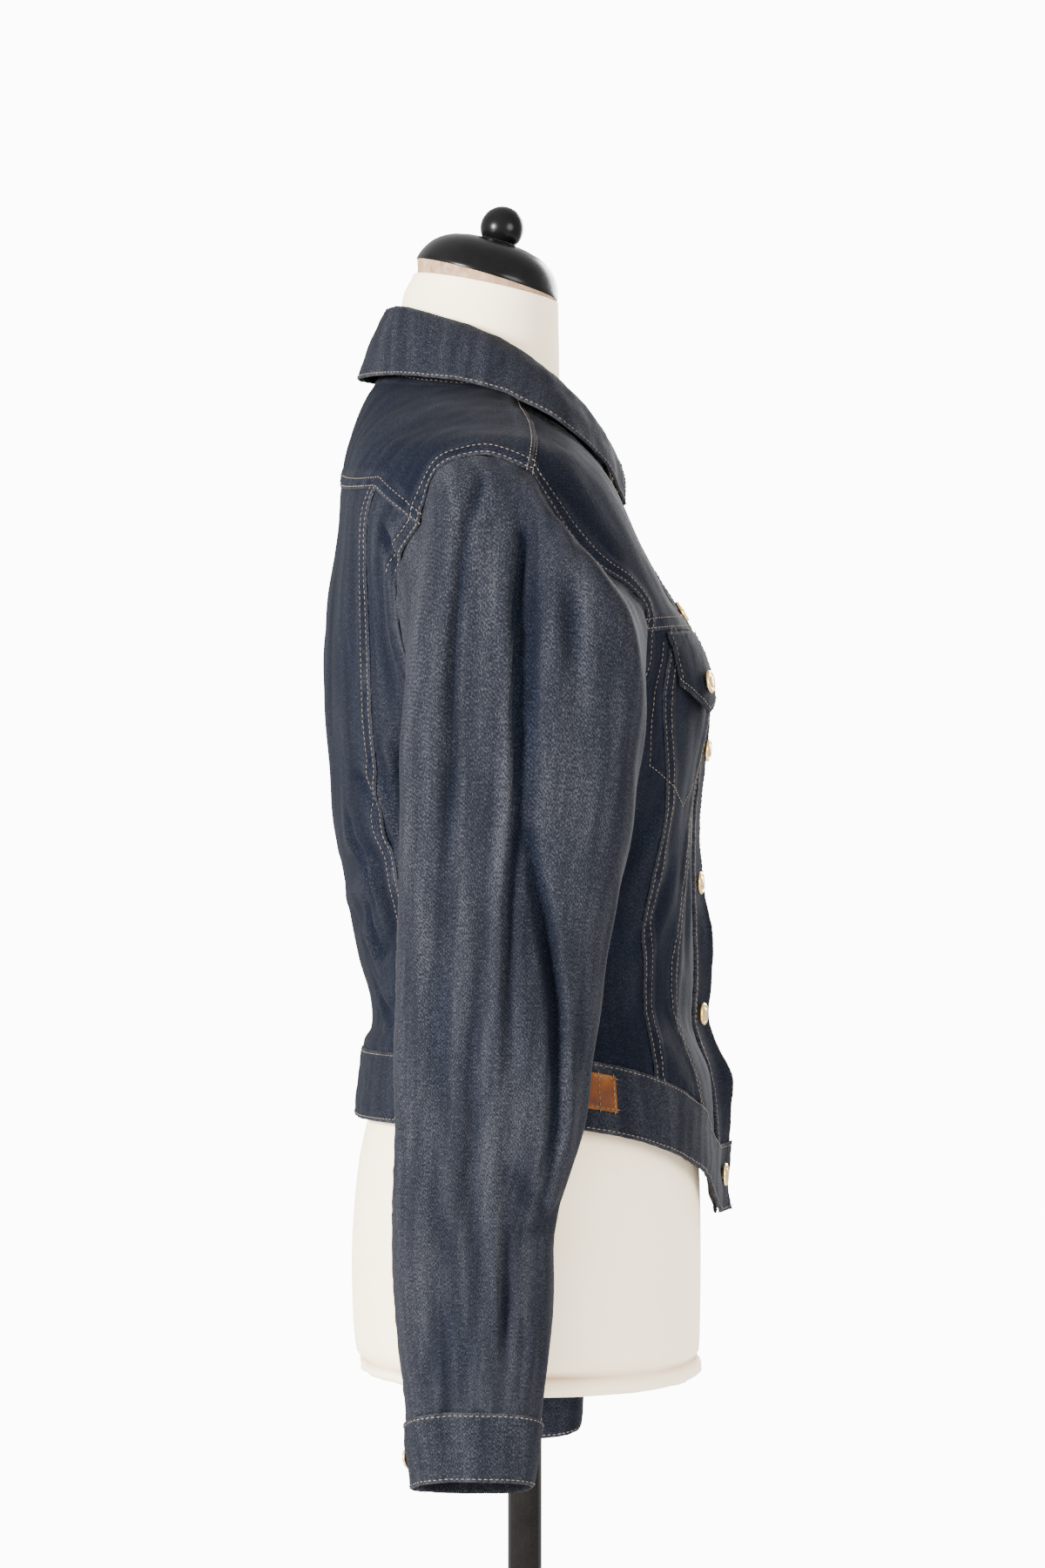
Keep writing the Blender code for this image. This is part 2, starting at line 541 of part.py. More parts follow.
SLEEVE_ROWS = 19
CAP_END = 3.0                     # the rings down to here still carry the exact shape of the armhole
# The wearer's left arm hangs a little forward of the right one, and lower: how far its cuff is moved,
# the height of the shoulder that it swings from, and the ring below which the sleeve goes with it.
SWING_Y, SWING_Z, SWING_TOP, SWING_LOW, SWING_FROM = -0.033, -0.009, 1.300, 0.740, 5.0
# The largest folds of the outer side: troughs between two places (z, y), with their depth and width.
FOLD = ("top_z", "top_y", "low_z", "low_y", "depth", "width")
FOLDS = (
    (1.365, 0.006, 1.120, -0.002, 0.0050, 0.0075),      # down from the point of the shoulder
    (1.140, -0.002, 0.985, -0.028, 0.0060, 0.0130),     # the same fold, opening toward the elbow
    (1.372, 0.026, 1.200, 0.035, 0.0026, 0.0080),
    (1.180, 0.047, 0.960, 0.052, 0.0022, 0.0090),
    (0.930, 0.010, 0.885, -0.022, 0.0040, 0.0080),      # inside the elbow
    (0.905, 0.045, 0.790, 0.052, 0.0022, 0.0080),
    (0.860, 0.010, 0.780, 0.020, 0.0025, 0.0060),       # above the cuff
    (0.845, 0.046, 0.690, 0.048, 0.0032, 0.0070),       # into the cuff
)


def oval(rings, turn, place):
    """A point of a sleeve ring: turn 0 is its outer end, a quarter turn its front."""
    ring = dict(zip(SLEEVE, along(rings, place)))
    u, w = math.cos(turn), math.sin(turn)
    reach = (abs(u) ** ring["square"] + abs(w) ** ring["square"]) ** (-1.0 / ring["square"])
    out = reach * u
    x = (ring["outer_x"] + ring["inner_x"]) / 2 + out * (ring["outer_x"] - ring["inner_x"]) / 2
    z = (ring["outer_z"] + ring["inner_z"]) / 2 + out * (ring["outer_z"] - ring["inner_z"]) / 2
    return Vector((x, ring["centre_y"] - reach * w * ring["half_depth"], z))


armhole_places = joined(BOTTOM_TO_FRONT_YOKE, FRONT_YOKE_TO_SHOULDER, SHOULDER_TO_BACK_YOKE,
                        BACK_YOKE_TO_BOTTOM)[:-1]
armhole_points = [jacket_point(a, b) for a, b in armhole_places]
armhole_normals = [jacket_normal(a, b) for a, b in armhole_places]
AROUND = len(armhole_points)


def armhole_turn(p):
    """The turn at which the sleeve's first ring points to this place on the armhole."""
    ring = dict(zip(SLEEVE, SLEEVE_RINGS[0]))
    arm = Vector((ring["outer_x"] - ring["inner_x"], 0.0, ring["outer_z"] - ring["inner_z"])) / 2
    middle = Vector((ring["outer_x"] + ring["inner_x"], 0.0, ring["outer_z"] + ring["inner_z"])) / 2
    out = (p - middle).dot(arm) / arm.length_squared
    turn = math.atan2((ring["centre_y"] - p.y) / ring["half_depth"], out)
    return turn if turn > -math.pi + 0.01 else turn + math.tau


armhole_turns = [armhole_turn(p) for p in armhole_points]


def hole_direction(index):
    """Along the body's surface, square to the armhole, into the hole."""
    run = armhole_points[(index + 1) % AROUND] - armhole_points[index - 1]
    return run.cross(armhole_normals[index]).normalized()


def sleeve_point(column, place):
    """A point of the sleeve's outer face, one column for each point of the armhole."""
    even = math.pi - math.tau * column / AROUND
    turn = armhole_turns[column] + (even - armhole_turns[column]) * blend(0.0, 5.0, place)
    p = oval(SLEEVE_RINGS, turn, place)
    start = (armhole_points[column] + hole_direction(column) * SEAM_GAP
             + armhole_normals[column] * 3 * SEAM_GAP)
    p += (start - oval(SLEEVE_RINGS, armhole_turns[column], 0.0)) * (1.0 - blend(0.0, CAP_END, place))
    return folded(p, turn)


def folded(p, turn):
    """Press the folds of the outer side into a point of the sleeve or the cuff."""
    for row in FOLDS:
        fold = dict(zip(FOLD, row))
        share = (fold["top_z"] - p.z) / (fold["top_z"] - fold["low_z"])
        if 0.0 < share < 1.0:
            off = (p.y - fold["top_y"] - (fold["low_y"] - fold["top_y"]) * share) / fold["width"]
            strength = math.sin(math.pi * share) ** 0.5 * blend(0.15, 0.7, math.cos(turn))
            p.x -= fold["depth"] * strength * math.exp(-off * off)
    return p


def swung(p, share=1.0):
    """A point of the left arm where that arm hangs; share is how far the cloth there goes with it."""
    reach = share * max(SWING_TOP - p.z, 0.0) / (SWING_TOP - SWING_LOW)
    return p + Vector((0.0, SWING_Y, SWING_Z)) * reach


def grid_normal(points, i, j, closed=False):
    """Outward normal at a point of a grid whose rows run upward and columns from right to left."""
    low, high = points[max(i - 1, 0)], points[min(i + 1, len(points) - 1)]
    row = points[i]
    if closed:
        return (row[(j + 1) % len(row)] - row[j - 1]).cross(high[j] - low[j]).normalized()
    return (row[min(j + 1, len(row) - 1)] - row[max(j - 1, 0)]).cross(high[j] - low[j]).normalized()


def set_in(points, thickness):
    """The inner face of an open piece of cloth, thickness behind its outer face."""
    return [[p - grid_normal(points, i, j) * thickness for j, p in enumerate(row)]
            for i, row in enumerate(points)]


def sleeve_walls(side):
    """Outer and inner points of a sleeve on the +X side, rows from the cuff up to the armhole."""
    places = [WRIST * (1.0 - i / SLEEVE_ROWS) ** 1.2 for i in range(SLEEVE_ROWS + 1)]
    outer = [[sleeve_point(j, place) for j in range(AROUND)] for place in places]
    if side == LEFT:
        outer = [[swung(p, blend(0.0, SWING_FROM, place)) for p in row] for row, place in zip(outer, places)]
    inner = []
    for i, row in enumerate(outer):
        inner_row = []
        for j, p in enumerate(row):
            inward = -grid_normal(outer, i, j, True)
            if i == SLEEVE_ROWS:
                into_hole = hole_direction(j)
                inward -= into_hole * min(inward.dot(into_hole), 0.0)
                inward.normalize()
            inner_row.append(p + inward * CLOTH)
        inner.append(inner_row)
    return outer, inner


def mirrored_points(points, side):
    """A grid of points of the +X side, on the wearer's right or left."""
    if side == LEFT:
        return points
    return [[Vector((-p.x, p.y, p.z)) for p in reversed(row)] for row in points]


UNDER_TURN = math.radians(118)           # the two sleeve seams, from the outer side to front and back
front_column = min(range(AROUND), key=lambda j: abs(math.pi - math.tau * j / AROUND - UNDER_TURN))
back_column = AROUND - front_column
upper_columns = list(range(front_column, back_column + 1))
under_columns = [j % AROUND for j in range(back_column, AROUND + front_column + 1)]
for side, tag in ((RIGHT, "r"), (LEFT, "l")):
    sleeve_outer, sleeve_inner = sleeve_walls(side)
    for name, columns in (("upper_sleeve", upper_columns), ("under_sleeve", under_columns)):
        outer = [[row[j] for j in columns] for row in sleeve_outer]
        inner = [[row[j] for j in columns] for row in sleeve_inner]
        wall(f"{name}_{tag}", mirrored_points(drawn_in(outer, SEAM_GAP / 2), side),
             mirrored_points(drawn_in(inner, SEAM_GAP / 2), side), DENIM)


# A cuff is a strip that ends on top of its own start, behind the arm. Turns are in degrees.
UNDER_END, OVER_END, LAP_FROM = -100.0, -494.0, -438.0
CUFF_ROWS, CUFF_COLS = 2, 27


def cuff_point(turn, up, depth=0.0):
    """A point of the left cuff's outer face; the end on top stands out by one layer."""
    place = (len(CUFF_RINGS) - 1) * (1.0 - up)
    angle = math.radians(turn)
    step = math.radians(1.0)
    p = folded(oval(CUFF_RINGS, angle, place), angle)
    ahead, back = oval(CUFF_RINGS, angle - step, place), oval(CUFF_RINGS, angle + step, place)
    low, high = oval(CUFF_RINGS, angle, place + 0.05), oval(CUFF_RINGS, angle, place - 0.05)
    out = (ahead - back).cross(high - low).normalized()
    over = (BAND_CLOTH + 2 * SEAM_GAP) * blend(-LAP_FROM, -(UNDER_END - 360.0), -turn)
    return p + out * (over - depth) - Vector((0.0, 0.0, 2 * SEAM_GAP))


def hung_cuff_point(turn, up, side, depth=0.0):
    """A point of a cuff on the +X side, where its arm hangs."""
    p = cuff_point(turn, up, depth)
    return swung(p) if side == LEFT else p


def cuff_face(depth, side):
    cuff_turns = [UNDER_END + (OVER_END - UNDER_END) * j / CUFF_COLS for j in range(CUFF_COLS + 1)]
    return mirrored_points([[hung_cuff_point(t, i / CUFF_ROWS, side, depth) for t in cuff_turns]
                            for i in range(CUFF_ROWS + 1)], side)


for side, tag in ((RIGHT, "r"), (LEFT, "l")):
    wall(f"cuff_{tag}", cuff_face(0.0, side), cuff_face(BAND_CLOTH, side), DENIM)

# ---------------------------------------------------------------- collar
# Stations along the collar from the centre back to its front end, on the +X side: the turn on the
# neckline in degrees, the fold line, and the outer edge as its place from above and how far it stands
# off the yokes; the last column is how full the fall is between the two.
COLLAR = ("turn", "fold_x", "fold_y", "fold_z", "edge_x", "edge_y", "edge_lift", "swell")
COLLAR_STATIONS = (
    (180.0, 0.0000, 0.0885, 1.4815, 0.000, 0.1020, 0.0125, 0.0050),
    (135.0, 0.0400, 0.0770, 1.4800, 0.060, 0.0810, 0.0110, 0.0050),
    (90.0, 0.0590, 0.0300, 1.4640, 0.093, 0.0340, 0.0105, 0.0050),
    (68.0, 0.0560, 0.0015, 1.4487, 0.102, 0.0030, 0.0070, 0.0055),
    (44.0, 0.0470, -0.0272, 1.4240, 0.104, -0.0240, 0.0050, 0.0055),
    (26.6, 0.0350, -0.0450, 1.4012, 0.080, -0.0480, 0.0050, 0.0050),
    (11.8, 0.0165, -0.0580, 1.3810, 0.050, -0.0625, 0.0050, 0.0040),
)
COLLAR_COLS, STAND_ROWS, FALL_ROWS = 22, 2, 4
ROLL = 0.0028                     # from the fold line out to the top of the fall


def place_from_above(x, y):
    """(angle, level) of the shoulder's point with this half-breadth and depth."""
    low, high = 11.0, float(NECKLINE)
    for _ in range(40):
        level = (low + high) / 2.0
        ring = dict(zip(RING, along(JACKET_RINGS, level)))
        ahead = ring["widest_y"] - y
        reach = ring["widest_y"] - ring["front_y"] if ahead > 0.0 else ring["back_y"] - ring["widest_y"]
        size = (abs(x) / ring["half_width"]) ** ring["square"] + (abs(ahead) / reach) ** ring["square"]
        low, high = (level, high) if size < 1.0 else (low, level)
    return math.atan2(x, ahead), level


def collar_rows():
    """The whole collar's stations as (neckline point, fold point, edge point, swell), left to right."""
    half = []
    for row in reversed(COLLAR_STATIONS):
        at = dict(zip(COLLAR, row))
        place = place_from_above(at["edge_x"], at["edge_y"])
        edge = jacket_point(*place) + jacket_normal(*place) * at["edge_lift"]
        neck = jacket_point(math.radians(at["turn"]), NECKLINE) + Vector((0.0, 0.0, 4 * SEAM_GAP))
        half.append((*neck, at["fold_x"], at["fold_y"], at["fold_z"], *edge, at["swell"]))
    flip = (-1, 1, 1, -1, 1, 1, -1, 1, 1, 1)
    other = [tuple(sign * value for sign, value in zip(flip, row)) for row in reversed(half[:-1])]
    return half + other


def collar_grids():
    """Outer faces of the stand and of the fall, rows upward, columns from the wearer's left."""
    rows = collar_rows()
    middle = Vector((0.0, 0.03, 0.0))
    stand = [[] for _ in range(STAND_ROWS + 1)]
    fall = [[] for _ in range(FALL_ROWS + 1)]
    for j in range(COLLAR_COLS + 1):
        values = along(rows, (len(rows) - 1) * j / COLLAR_COLS)
        neck, fold, edge = Vector(values[0:3]), Vector(values[3:6]), Vector(values[6:9])
        away = fold - middle
        away.z = 0.0
        away.normalize()
        top = fold + away * ROLL
        down = (edge - top).normalized()
        full = away + Vector((0.0, 0.0, 1.0))
        full = (full - down * full.dot(down)).normalized()
        for i in range(STAND_ROWS + 1):
            stand[i].append(neck.lerp(fold, i / STAND_ROWS))
        for i in range(FALL_ROWS + 1):
            share = (1.0 - i / FALL_ROWS) ** 1.3
            fall[i].append(top.lerp(edge, share) + full * values[9] * math.sin(math.pi * share ** 0.7))
    return stand, fall


collar_stand, collar_fall = collar_grids()
for name, outer in (("collar_stand", collar_stand), ("collar_fall", collar_fall)):
    wall(name, outer, set_in(outer, BAND_CLOTH), DENIM)

# ---------------------------------------------------------------- leather patch
# It lies on the waistband at the wearer's right side: from PATCH_FRONT back to PATCH_BACK, between two
# shares of the band's height.
PATCH_FRONT, PATCH_BACK, PATCH_LOW, PATCH_HIGH = -0.058, 0.004, 0.30, 0.80
PATCH_THICK, PATCH_COLS, PATCH_ROWS = 0.0013, 6, 1


def patch_face(lift):
    start, end = angle_by_y(PATCH_BACK, BAND_TOP / 2), angle_by_y(PATCH_FRONT, BAND_TOP / 2)
    grid = []
    for i in range(PATCH_ROWS + 1):
        up = PATCH_LOW + (PATCH_HIGH - PATCH_LOW) * i / PATCH_ROWS
        grid.append([waistband_point(math.tau - start + (start - end) * j / PATCH_COLS, up, -lift)
                     for j in range(PATCH_COLS + 1)])
    return grid


wall("leather_patch", patch_face(2 * SEAM_GAP + PATCH_THICK), patch_face(2 * SEAM_GAP), LEATHER)


# ---------------------------------------------------------------- turned pieces
def turned(name, profile, material, steps, place=Matrix.Identity(4)):
    """A piece turned about its own +Z axis; the profile is (radius, height), from its top downward."""
    mesh = bpy.data.meshes.new(name)
    mesh.from_pydata([(r, 0.0, z) for r, z in profile], [(i, i + 1) for i in range(len(profile) - 1)], [])
    obj = finish(name, mesh, material)
    obj.matrix_world = place
    screw = obj.modifiers.new("turn", "SCREW")
    screw.steps = steps
    screw.render_steps = steps
    screw.use_merge_vertices = True
    screw.merge_threshold = 1e-5
    return obj


def upright(point, direction):
    """A placement whose own +Z axis points along direction at this point."""
    return Matrix.Translation(point) @ direction.to_track_quat("Z", "Y").to_matrix().to_4x4()


BUTTON_CAP = ((0.0, 0.0032), (0.0036, 0.0030), (0.0060, 0.0023), (BUTTON_RADIUS, 0.0008), (0.0070, 0.0))
SHANK_RADIUS, SHANK_LEAST = 0.0030, 0.0006
BUTTON_STEPS = 10


def button(name, surface, a, b, side=LEFT, seat=2 * SEAM_GAP):
    """A button on a surface(a, b), with a shank just long enough to hold its rim clear of the cloth."""
    step = 1e-3
    p, n = surface(a, b), normal_of(surface, a, b)
    reach = 1.4 * BUTTON_RADIUS * step
    reach_a = reach / (surface(a + step, b) - p).length
    reach_b = reach / (surface(a, b + step) - p).length
    shank = SHANK_LEAST
    for i in range(8):
        turn = math.tau * i / 8
        around = surface(a + reach_a * math.cos(turn), b + reach_b * math.sin(turn))
        shank = max(shank, (around - p).dot(n) + SEAM_GAP)
    profile = [(radius, height + shank) for radius, height in BUTTON_CAP]
    profile += [(SHANK_RADIUS, shank), (SHANK_RADIUS, 0.0), (0.0, 0.0)]
    if side == RIGHT:
        p, n = Vector((-p.x, p.y, p.z)), Vector((-n.x, n.y, n.z))
    turned(name, profile, GOLD, BUTTON_STEPS, upright(p + n * seat, n))


# Heights of the buttons on the band, each with the distance of its foot from the cloth's true surface;
# the last sits in the hollow of the waist.
BAND_BUTTONS = ((1.3667, 0.0006), (1.2780, 0.0006), (1.1890, 0.0006), (1.1000, 0.0006), (1.0130, 0.0012))
for index, (z, seat) in enumerate(BAND_BUTTONS):
    button(f"button_front_{index + 1}", lambda a, b: top_layer(a, b, LAYER), 0.0, place_by_x(0.0, z)[1],
           seat=seat)
button("button_front_6", lambda a, b: waistband_point(a, b, 0.0), math.tau, 0.54)
FLAP_BUTTON_XZ = (0.085, 1.232)
CUFF_BUTTON_TURN, CUFF_BUTTON_UP = -480.0, 0.5


def flap_face(angle, level):
    return jacket_point(angle, level) + jacket_normal(angle, level) * FLAP_LIFT


for side, tag in ((RIGHT, "r"), (LEFT, "l")):
    button(f"button_flap_{tag}", flap_face, *place_by_x(*FLAP_BUTTON_XZ), side)
    button(f"button_cuff_{tag}", lambda a, b: hung_cuff_point(-a, b, side), -CUFF_BUTTON_TURN,
           CUFF_BUTTON_UP, side)

# ---------------------------------------------------------------- dress form
FORM_RINGS = (
    (0.7745, 0.7745, 0.7745, -0.1100, -0.002, 0.0900, 0.150, 2.2),    # underside
    (0.7775, 0.7775, 0.7775, -0.1145, -0.002, 0.0960, 0.1545, 2.2),
    (0.7870, 0.7870, 0.7870, -0.1160, -0.002, 0.1110, 0.1578, 2.2),
    (0.8500, 0.8500, 0.8500, -0.1170, -0.002, 0.1150, 0.163, 2.2),
    (0.9100, 0.9100, 0.9100, -0.1160, -0.002, 0.1110, 0.162, 2.2),
    (0.9500, 0.9500, 0.9500, -0.1120, -0.002, 0.1030, 0.154, 2.2),
    (0.9900, 0.9900, 0.9900, -0.1020, -0.001, 0.0940, 0.140, 2.2),
    (1.0400, 1.0400, 1.0400, -0.0920, 0.000, 0.0880, 0.123, 2.2),     # waist
    (1.1100, 1.1100, 1.1100, -0.0980, 0.001, 0.0990, 0.128, 2.3),
    (1.1750, 1.1750, 1.1750, -0.1060, 0.003, 0.1110, 0.137, 2.3),
    (1.2250, 1.2250, 1.2250, -0.1110, 0.005, 0.1180, 0.144, 2.3),     # bust
    (1.2600, 1.2650, 1.2700, -0.1040, 0.010, 0.1180, 0.151, 2.4),
    (1.2950, 1.3080, 1.3200, -0.0850, 0.016, 0.1150, 0.163, 2.5),
    (1.3150, 1.3450, 1.3550, -0.0720, 0.022, 0.1120, 0.170, 2.4),
    (1.3290, 1.3690, 1.3790, -0.0620, 0.026, 0.1080, 0.157, 2.3),
    (1.3430, 1.3860, 1.3960, -0.0530, 0.028, 0.1020, 0.125, 2.2),
    (1.3570, 1.3990, 1.4110, -0.0450, 0.030, 0.0950, 0.091, 2.1),
    (1.3750, 1.4150, 1.4270, -0.0350, 0.031, 0.0880, 0.065, 2.0),
    (1.3980, 1.4340, 1.4460, -0.0270, 0.030, 0.0850, 0.0550, 2.0),
    (1.4280, 1.4570, 1.4680, -0.0235, 0.029, 0.0840, 0.0530, 2.0),
    (1.4580, 1.4780, 1.4920, -0.0228, 0.029, 0.0805, 0.0515, 2.0),
    (1.4859, 1.4955, 1.5057, -0.0222, 0.025, 0.0722, 0.0490, 2.0),    # top of the neck
)
FORM_TURNS = 28
NECK_TOP = len(FORM_RINGS) - 1
NECK_FRONT, NECK_BACK = (-0.0222, 1.4859), (0.0722, 1.5057)           # (y, z) of the cover's top edge
CAP_FRONT, CAP_BACK = (-0.0218, 1.4879), (0.0722, 1.5157)             # (y, z) of the cap's underside


def plane_z(front, back, y):
    return front[1] + (back[1] - front[1]) * (y - front[0]) / (back[0] - front[0])


def form_point(angle, level, inset=1.0):
    angle = math.remainder(angle, math.tau)
    x, y, z = ring_point(FORM_RINGS, abs(angle), level, 1.6, 1.6)
    z += (plane_z(NECK_FRONT, NECK_BACK, y) - z) * blend(NECK_TOP - 0.5, NECK_TOP, level)
    middle = (NECK_FRONT[0] + NECK_BACK[0]) / 2
    return Vector((math.copysign(x, angle) * inset, middle + (y - middle) * inset, z))


def lofted(name, rings, material):
    """A closed solid through rings of points, from the bottom up, with flat ends."""
    around = len(rings[0])
    faces = [tuple(reversed(range(around))), tuple(range((len(rings) - 1) * around, len(rings) * around))]
    for i in range(len(rings) - 1):
        for j in range(around):
            k = (j + 1) % around
            faces.append((i * around + j, i * around + k, (i + 1) * around + k, (i + 1) * around + j))
    mesh = bpy.data.meshes.new(name)
    mesh.from_pydata([tuple(p) for ring in rings for p in ring], [], faces)
    return finish(name, mesh, material)


form_turns = [-math.pi + math.tau * j / FORM_TURNS for j in range(FORM_TURNS)]
lofted("form_torso", [[form_point(t, level) for t in form_turns] for level in range(NECK_TOP + 1)], JERSEY)
rim_rings = []
for front, back, gap in ((NECK_FRONT, NECK_BACK, SEAM_GAP), (CAP_FRONT, CAP_BACK, -SEAM_GAP)):
    ring = [form_point(t, NECK_TOP, 0.985) for t in form_turns]
    rim_rings.append([Vector((p.x, p.y, plane_z(front, back, p.y) + gap)) for p in ring])
lofted("form_rim", rim_rings, RIM)

cap_middle = Vector((0.0, (CAP_FRONT[0] + CAP_BACK[0]) / 2, (CAP_FRONT[1] + CAP_BACK[1]) / 2))
cap_axis = Vector((0.0, CAP_FRONT[1] - CAP_BACK[1], CAP_BACK[0] - CAP_FRONT[0])).normalized()
CAP_PROFILE = ((0.0, 0.0260), (0.0115, 0.0260), (0.0200, 0.0252), (0.0300, 0.0228), (0.0385, 0.0182),
               (0.0440, 0.0125), (0.0475, 0.0060), (0.0490, 0.0), (0.0, 0.0))
turned("neck_cap", CAP_PROFILE, LACQUER, 24, upright(cap_middle, cap_axis))
KNOB_HEIGHT, KNOB_RADIUS, KNOB_CUT = 0.0357, 0.0145, 128.0    # the ball is cut flat where it sits
knob_profile = []
for i in range(9):
    slope = math.radians(KNOB_CUT * i / 8)
    knob_profile.append((KNOB_RADIUS * math.sin(slope), KNOB_HEIGHT + KNOB_RADIUS * math.cos(slope)))
knob_profile.append((0.0, knob_profile[-1][1]))
turned("neck_knob", knob_profile, LACQUER, 16, upright(cap_middle, cap_axis))

# ---------------------------------------------------------------- stand
POLE_RADIUS = 0.0113
BASE_PROFILE = ((0.0, 0.0180), (0.0220, 0.0180), (0.0260, 0.0120), (0.1540, 0.0100), (0.1590, 0.0070),
                (0.1600, 0.0), (0.0, 0.0))
turned("form_base", BASE_PROFILE, PAINT, 40)
pole_low, pole_high = BASE_PROFILE[0][1] + SEAM_GAP, FORM_RINGS[0][0] - SEAM_GAP
turned("form_pole", ((0.0, pole_high), (POLE_RADIUS, pole_high), (POLE_RADIUS, pole_low), (0.0, pole_low)),
       PAINT, 20)
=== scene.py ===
"""A women's fitted denim jacket, buttoned up on a limbless dress form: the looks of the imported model.

Metres, +Z up, the wearer faces -Y and the wearer's right is -X.
"""
import math

import bmesh
import bpy
import numpy as np
from mathutils import Matrix, Vector


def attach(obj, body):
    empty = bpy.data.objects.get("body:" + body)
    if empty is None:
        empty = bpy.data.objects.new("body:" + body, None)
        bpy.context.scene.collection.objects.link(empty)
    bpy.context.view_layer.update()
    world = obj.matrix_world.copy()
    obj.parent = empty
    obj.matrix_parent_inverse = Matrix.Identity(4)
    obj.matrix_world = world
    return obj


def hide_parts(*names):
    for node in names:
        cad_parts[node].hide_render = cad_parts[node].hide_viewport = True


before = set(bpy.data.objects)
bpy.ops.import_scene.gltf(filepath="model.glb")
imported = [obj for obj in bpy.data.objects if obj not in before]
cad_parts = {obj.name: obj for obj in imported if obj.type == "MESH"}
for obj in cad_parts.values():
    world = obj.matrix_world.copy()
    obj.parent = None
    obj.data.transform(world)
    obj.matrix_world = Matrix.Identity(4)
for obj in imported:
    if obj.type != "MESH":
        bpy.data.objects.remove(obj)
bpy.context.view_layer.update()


def put(name, data):
    """A new object with this data, in the scene."""
    obj = bpy.data.objects.new(name, data)
    bpy.context.scene.collection.objects.link(obj)
    return obj


def keep(piece, node):
    """Attach a finished piece to the root body and hide the solid that it replaces."""
    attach(piece, "root")
    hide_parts(node)

# ---------------------------------------------------------------- the view
# The jacket is seen square from the wearer's right, from the height of the bust, through a long lens.
VIEW_DISTANCE, VIEW_DEPTH, VIEW_HEIGHT = 3.6, 0.0015, 1.166
camera = put("camera", bpy.data.cameras.new("camera"))
camera.data.lens, camera.data.sensor_width = 124.14, 36.0
camera.location = (-VIEW_DISTANCE, VIEW_DEPTH, VIEW_HEIGHT)
camera.rotation_euler = (math.radians(90), 0.0, math.radians(-90))
bpy.context.scene.camera = camera

# ---------------------------------------------------------------- dress form: the body
# A limbless body of hard foam, pulled into one tube of cream jersey from the neck to a rolled hem under
# the hips. Each ring runs level round it, from its front height over its side height to its back height.
RING = ("front_z", "side_z", "back_z", "front_y", "widest_y", "back_y", "half_width", "square")
FORM_RINGS = np.array((
    (0.7745, 0.7745, 0.7745, -0.1100, -0.002, 0.0900, 0.150, 2.2),    # underside
    (0.7775, 0.7775, 0.7775, -0.1145, -0.002, 0.0960, 0.1545, 2.2),
    (0.7870, 0.7870, 0.7870, -0.1160, -0.002, 0.1110, 0.1578, 2.2),
    (0.8500, 0.8500, 0.8500, -0.1170, -0.002, 0.1150, 0.163, 2.2),
    (0.9100, 0.9100, 0.9100, -0.1160, -0.002, 0.1110, 0.162, 2.2),
    (0.9500, 0.9500, 0.9500, -0.1120, -0.002, 0.1030, 0.154, 2.2),
    (0.9900, 0.9900, 0.9900, -0.1020, -0.001, 0.0940, 0.140, 2.2),
    (1.0400, 1.0400, 1.0400, -0.0920, 0.000, 0.0880, 0.123, 2.2),     # waist
    (1.1100, 1.1100, 1.1100, -0.0980, 0.001, 0.0990, 0.128, 2.3),
    (1.1750, 1.1750, 1.1750, -0.1060, 0.003, 0.1110, 0.137, 2.3),
    (1.2250, 1.2250, 1.2250, -0.1110, 0.005, 0.1180, 0.144, 2.3),     # bust
    (1.2600, 1.2650, 1.2700, -0.1040, 0.010, 0.1180, 0.151, 2.4),
    (1.2950, 1.3080, 1.3200, -0.0850, 0.016, 0.1150, 0.163, 2.5),
    (1.3150, 1.3450, 1.3550, -0.0720, 0.022, 0.1120, 0.170, 2.4),
    (1.3290, 1.3690, 1.3790, -0.0620, 0.026, 0.1080, 0.157, 2.3),
    (1.3430, 1.3860, 1.3960, -0.0530, 0.028, 0.1020, 0.125, 2.2),
    (1.3570, 1.3990, 1.4110, -0.0450, 0.030, 0.0950, 0.091, 2.1),
    (1.3750, 1.4150, 1.4270, -0.0350, 0.031, 0.0880, 0.065, 2.0),
    (1.3980, 1.4340, 1.4460, -0.0270, 0.030, 0.0850, 0.0550, 2.0),
    (1.4280, 1.4570, 1.4680, -0.0235, 0.029, 0.0840, 0.0530, 2.0),
    (1.4580, 1.4780, 1.4920, -0.0228, 0.029, 0.0805, 0.0515, 2.0),
    (1.4859, 1.4955, 1.5057, -0.0222, 0.025, 0.0722, 0.0490, 2.0),    # top of the neck
))
NECK_TOP = len(FORM_RINGS) - 1
NECK_FRONT, NECK_BACK = (-0.0222, 1.4859), (0.0722, 1.5057)    # (y, z) of the cover's top edge
CAP_FRONT, CAP_BACK = (-0.0218, 1.4879), (0.0722, 1.5157)      # (y, z) of the cap's underside
DIP = 1.6                         # how steeply a ring leaves the height of its sides


def blend(edge0, edge1, value):
    """0 below edge0, 1 above edge1, smooth between."""
    share = np.clip((np.asarray(value, dtype=float) - edge0) / (edge1 - edge0), 0.0, 1.0)
    return share * share * (3.0 - 2.0 * share)


def hill(value, middle, width):
    """1 at the middle, falling away softly on both sides."""
    return np.exp(-((value - middle) / width) ** 2)


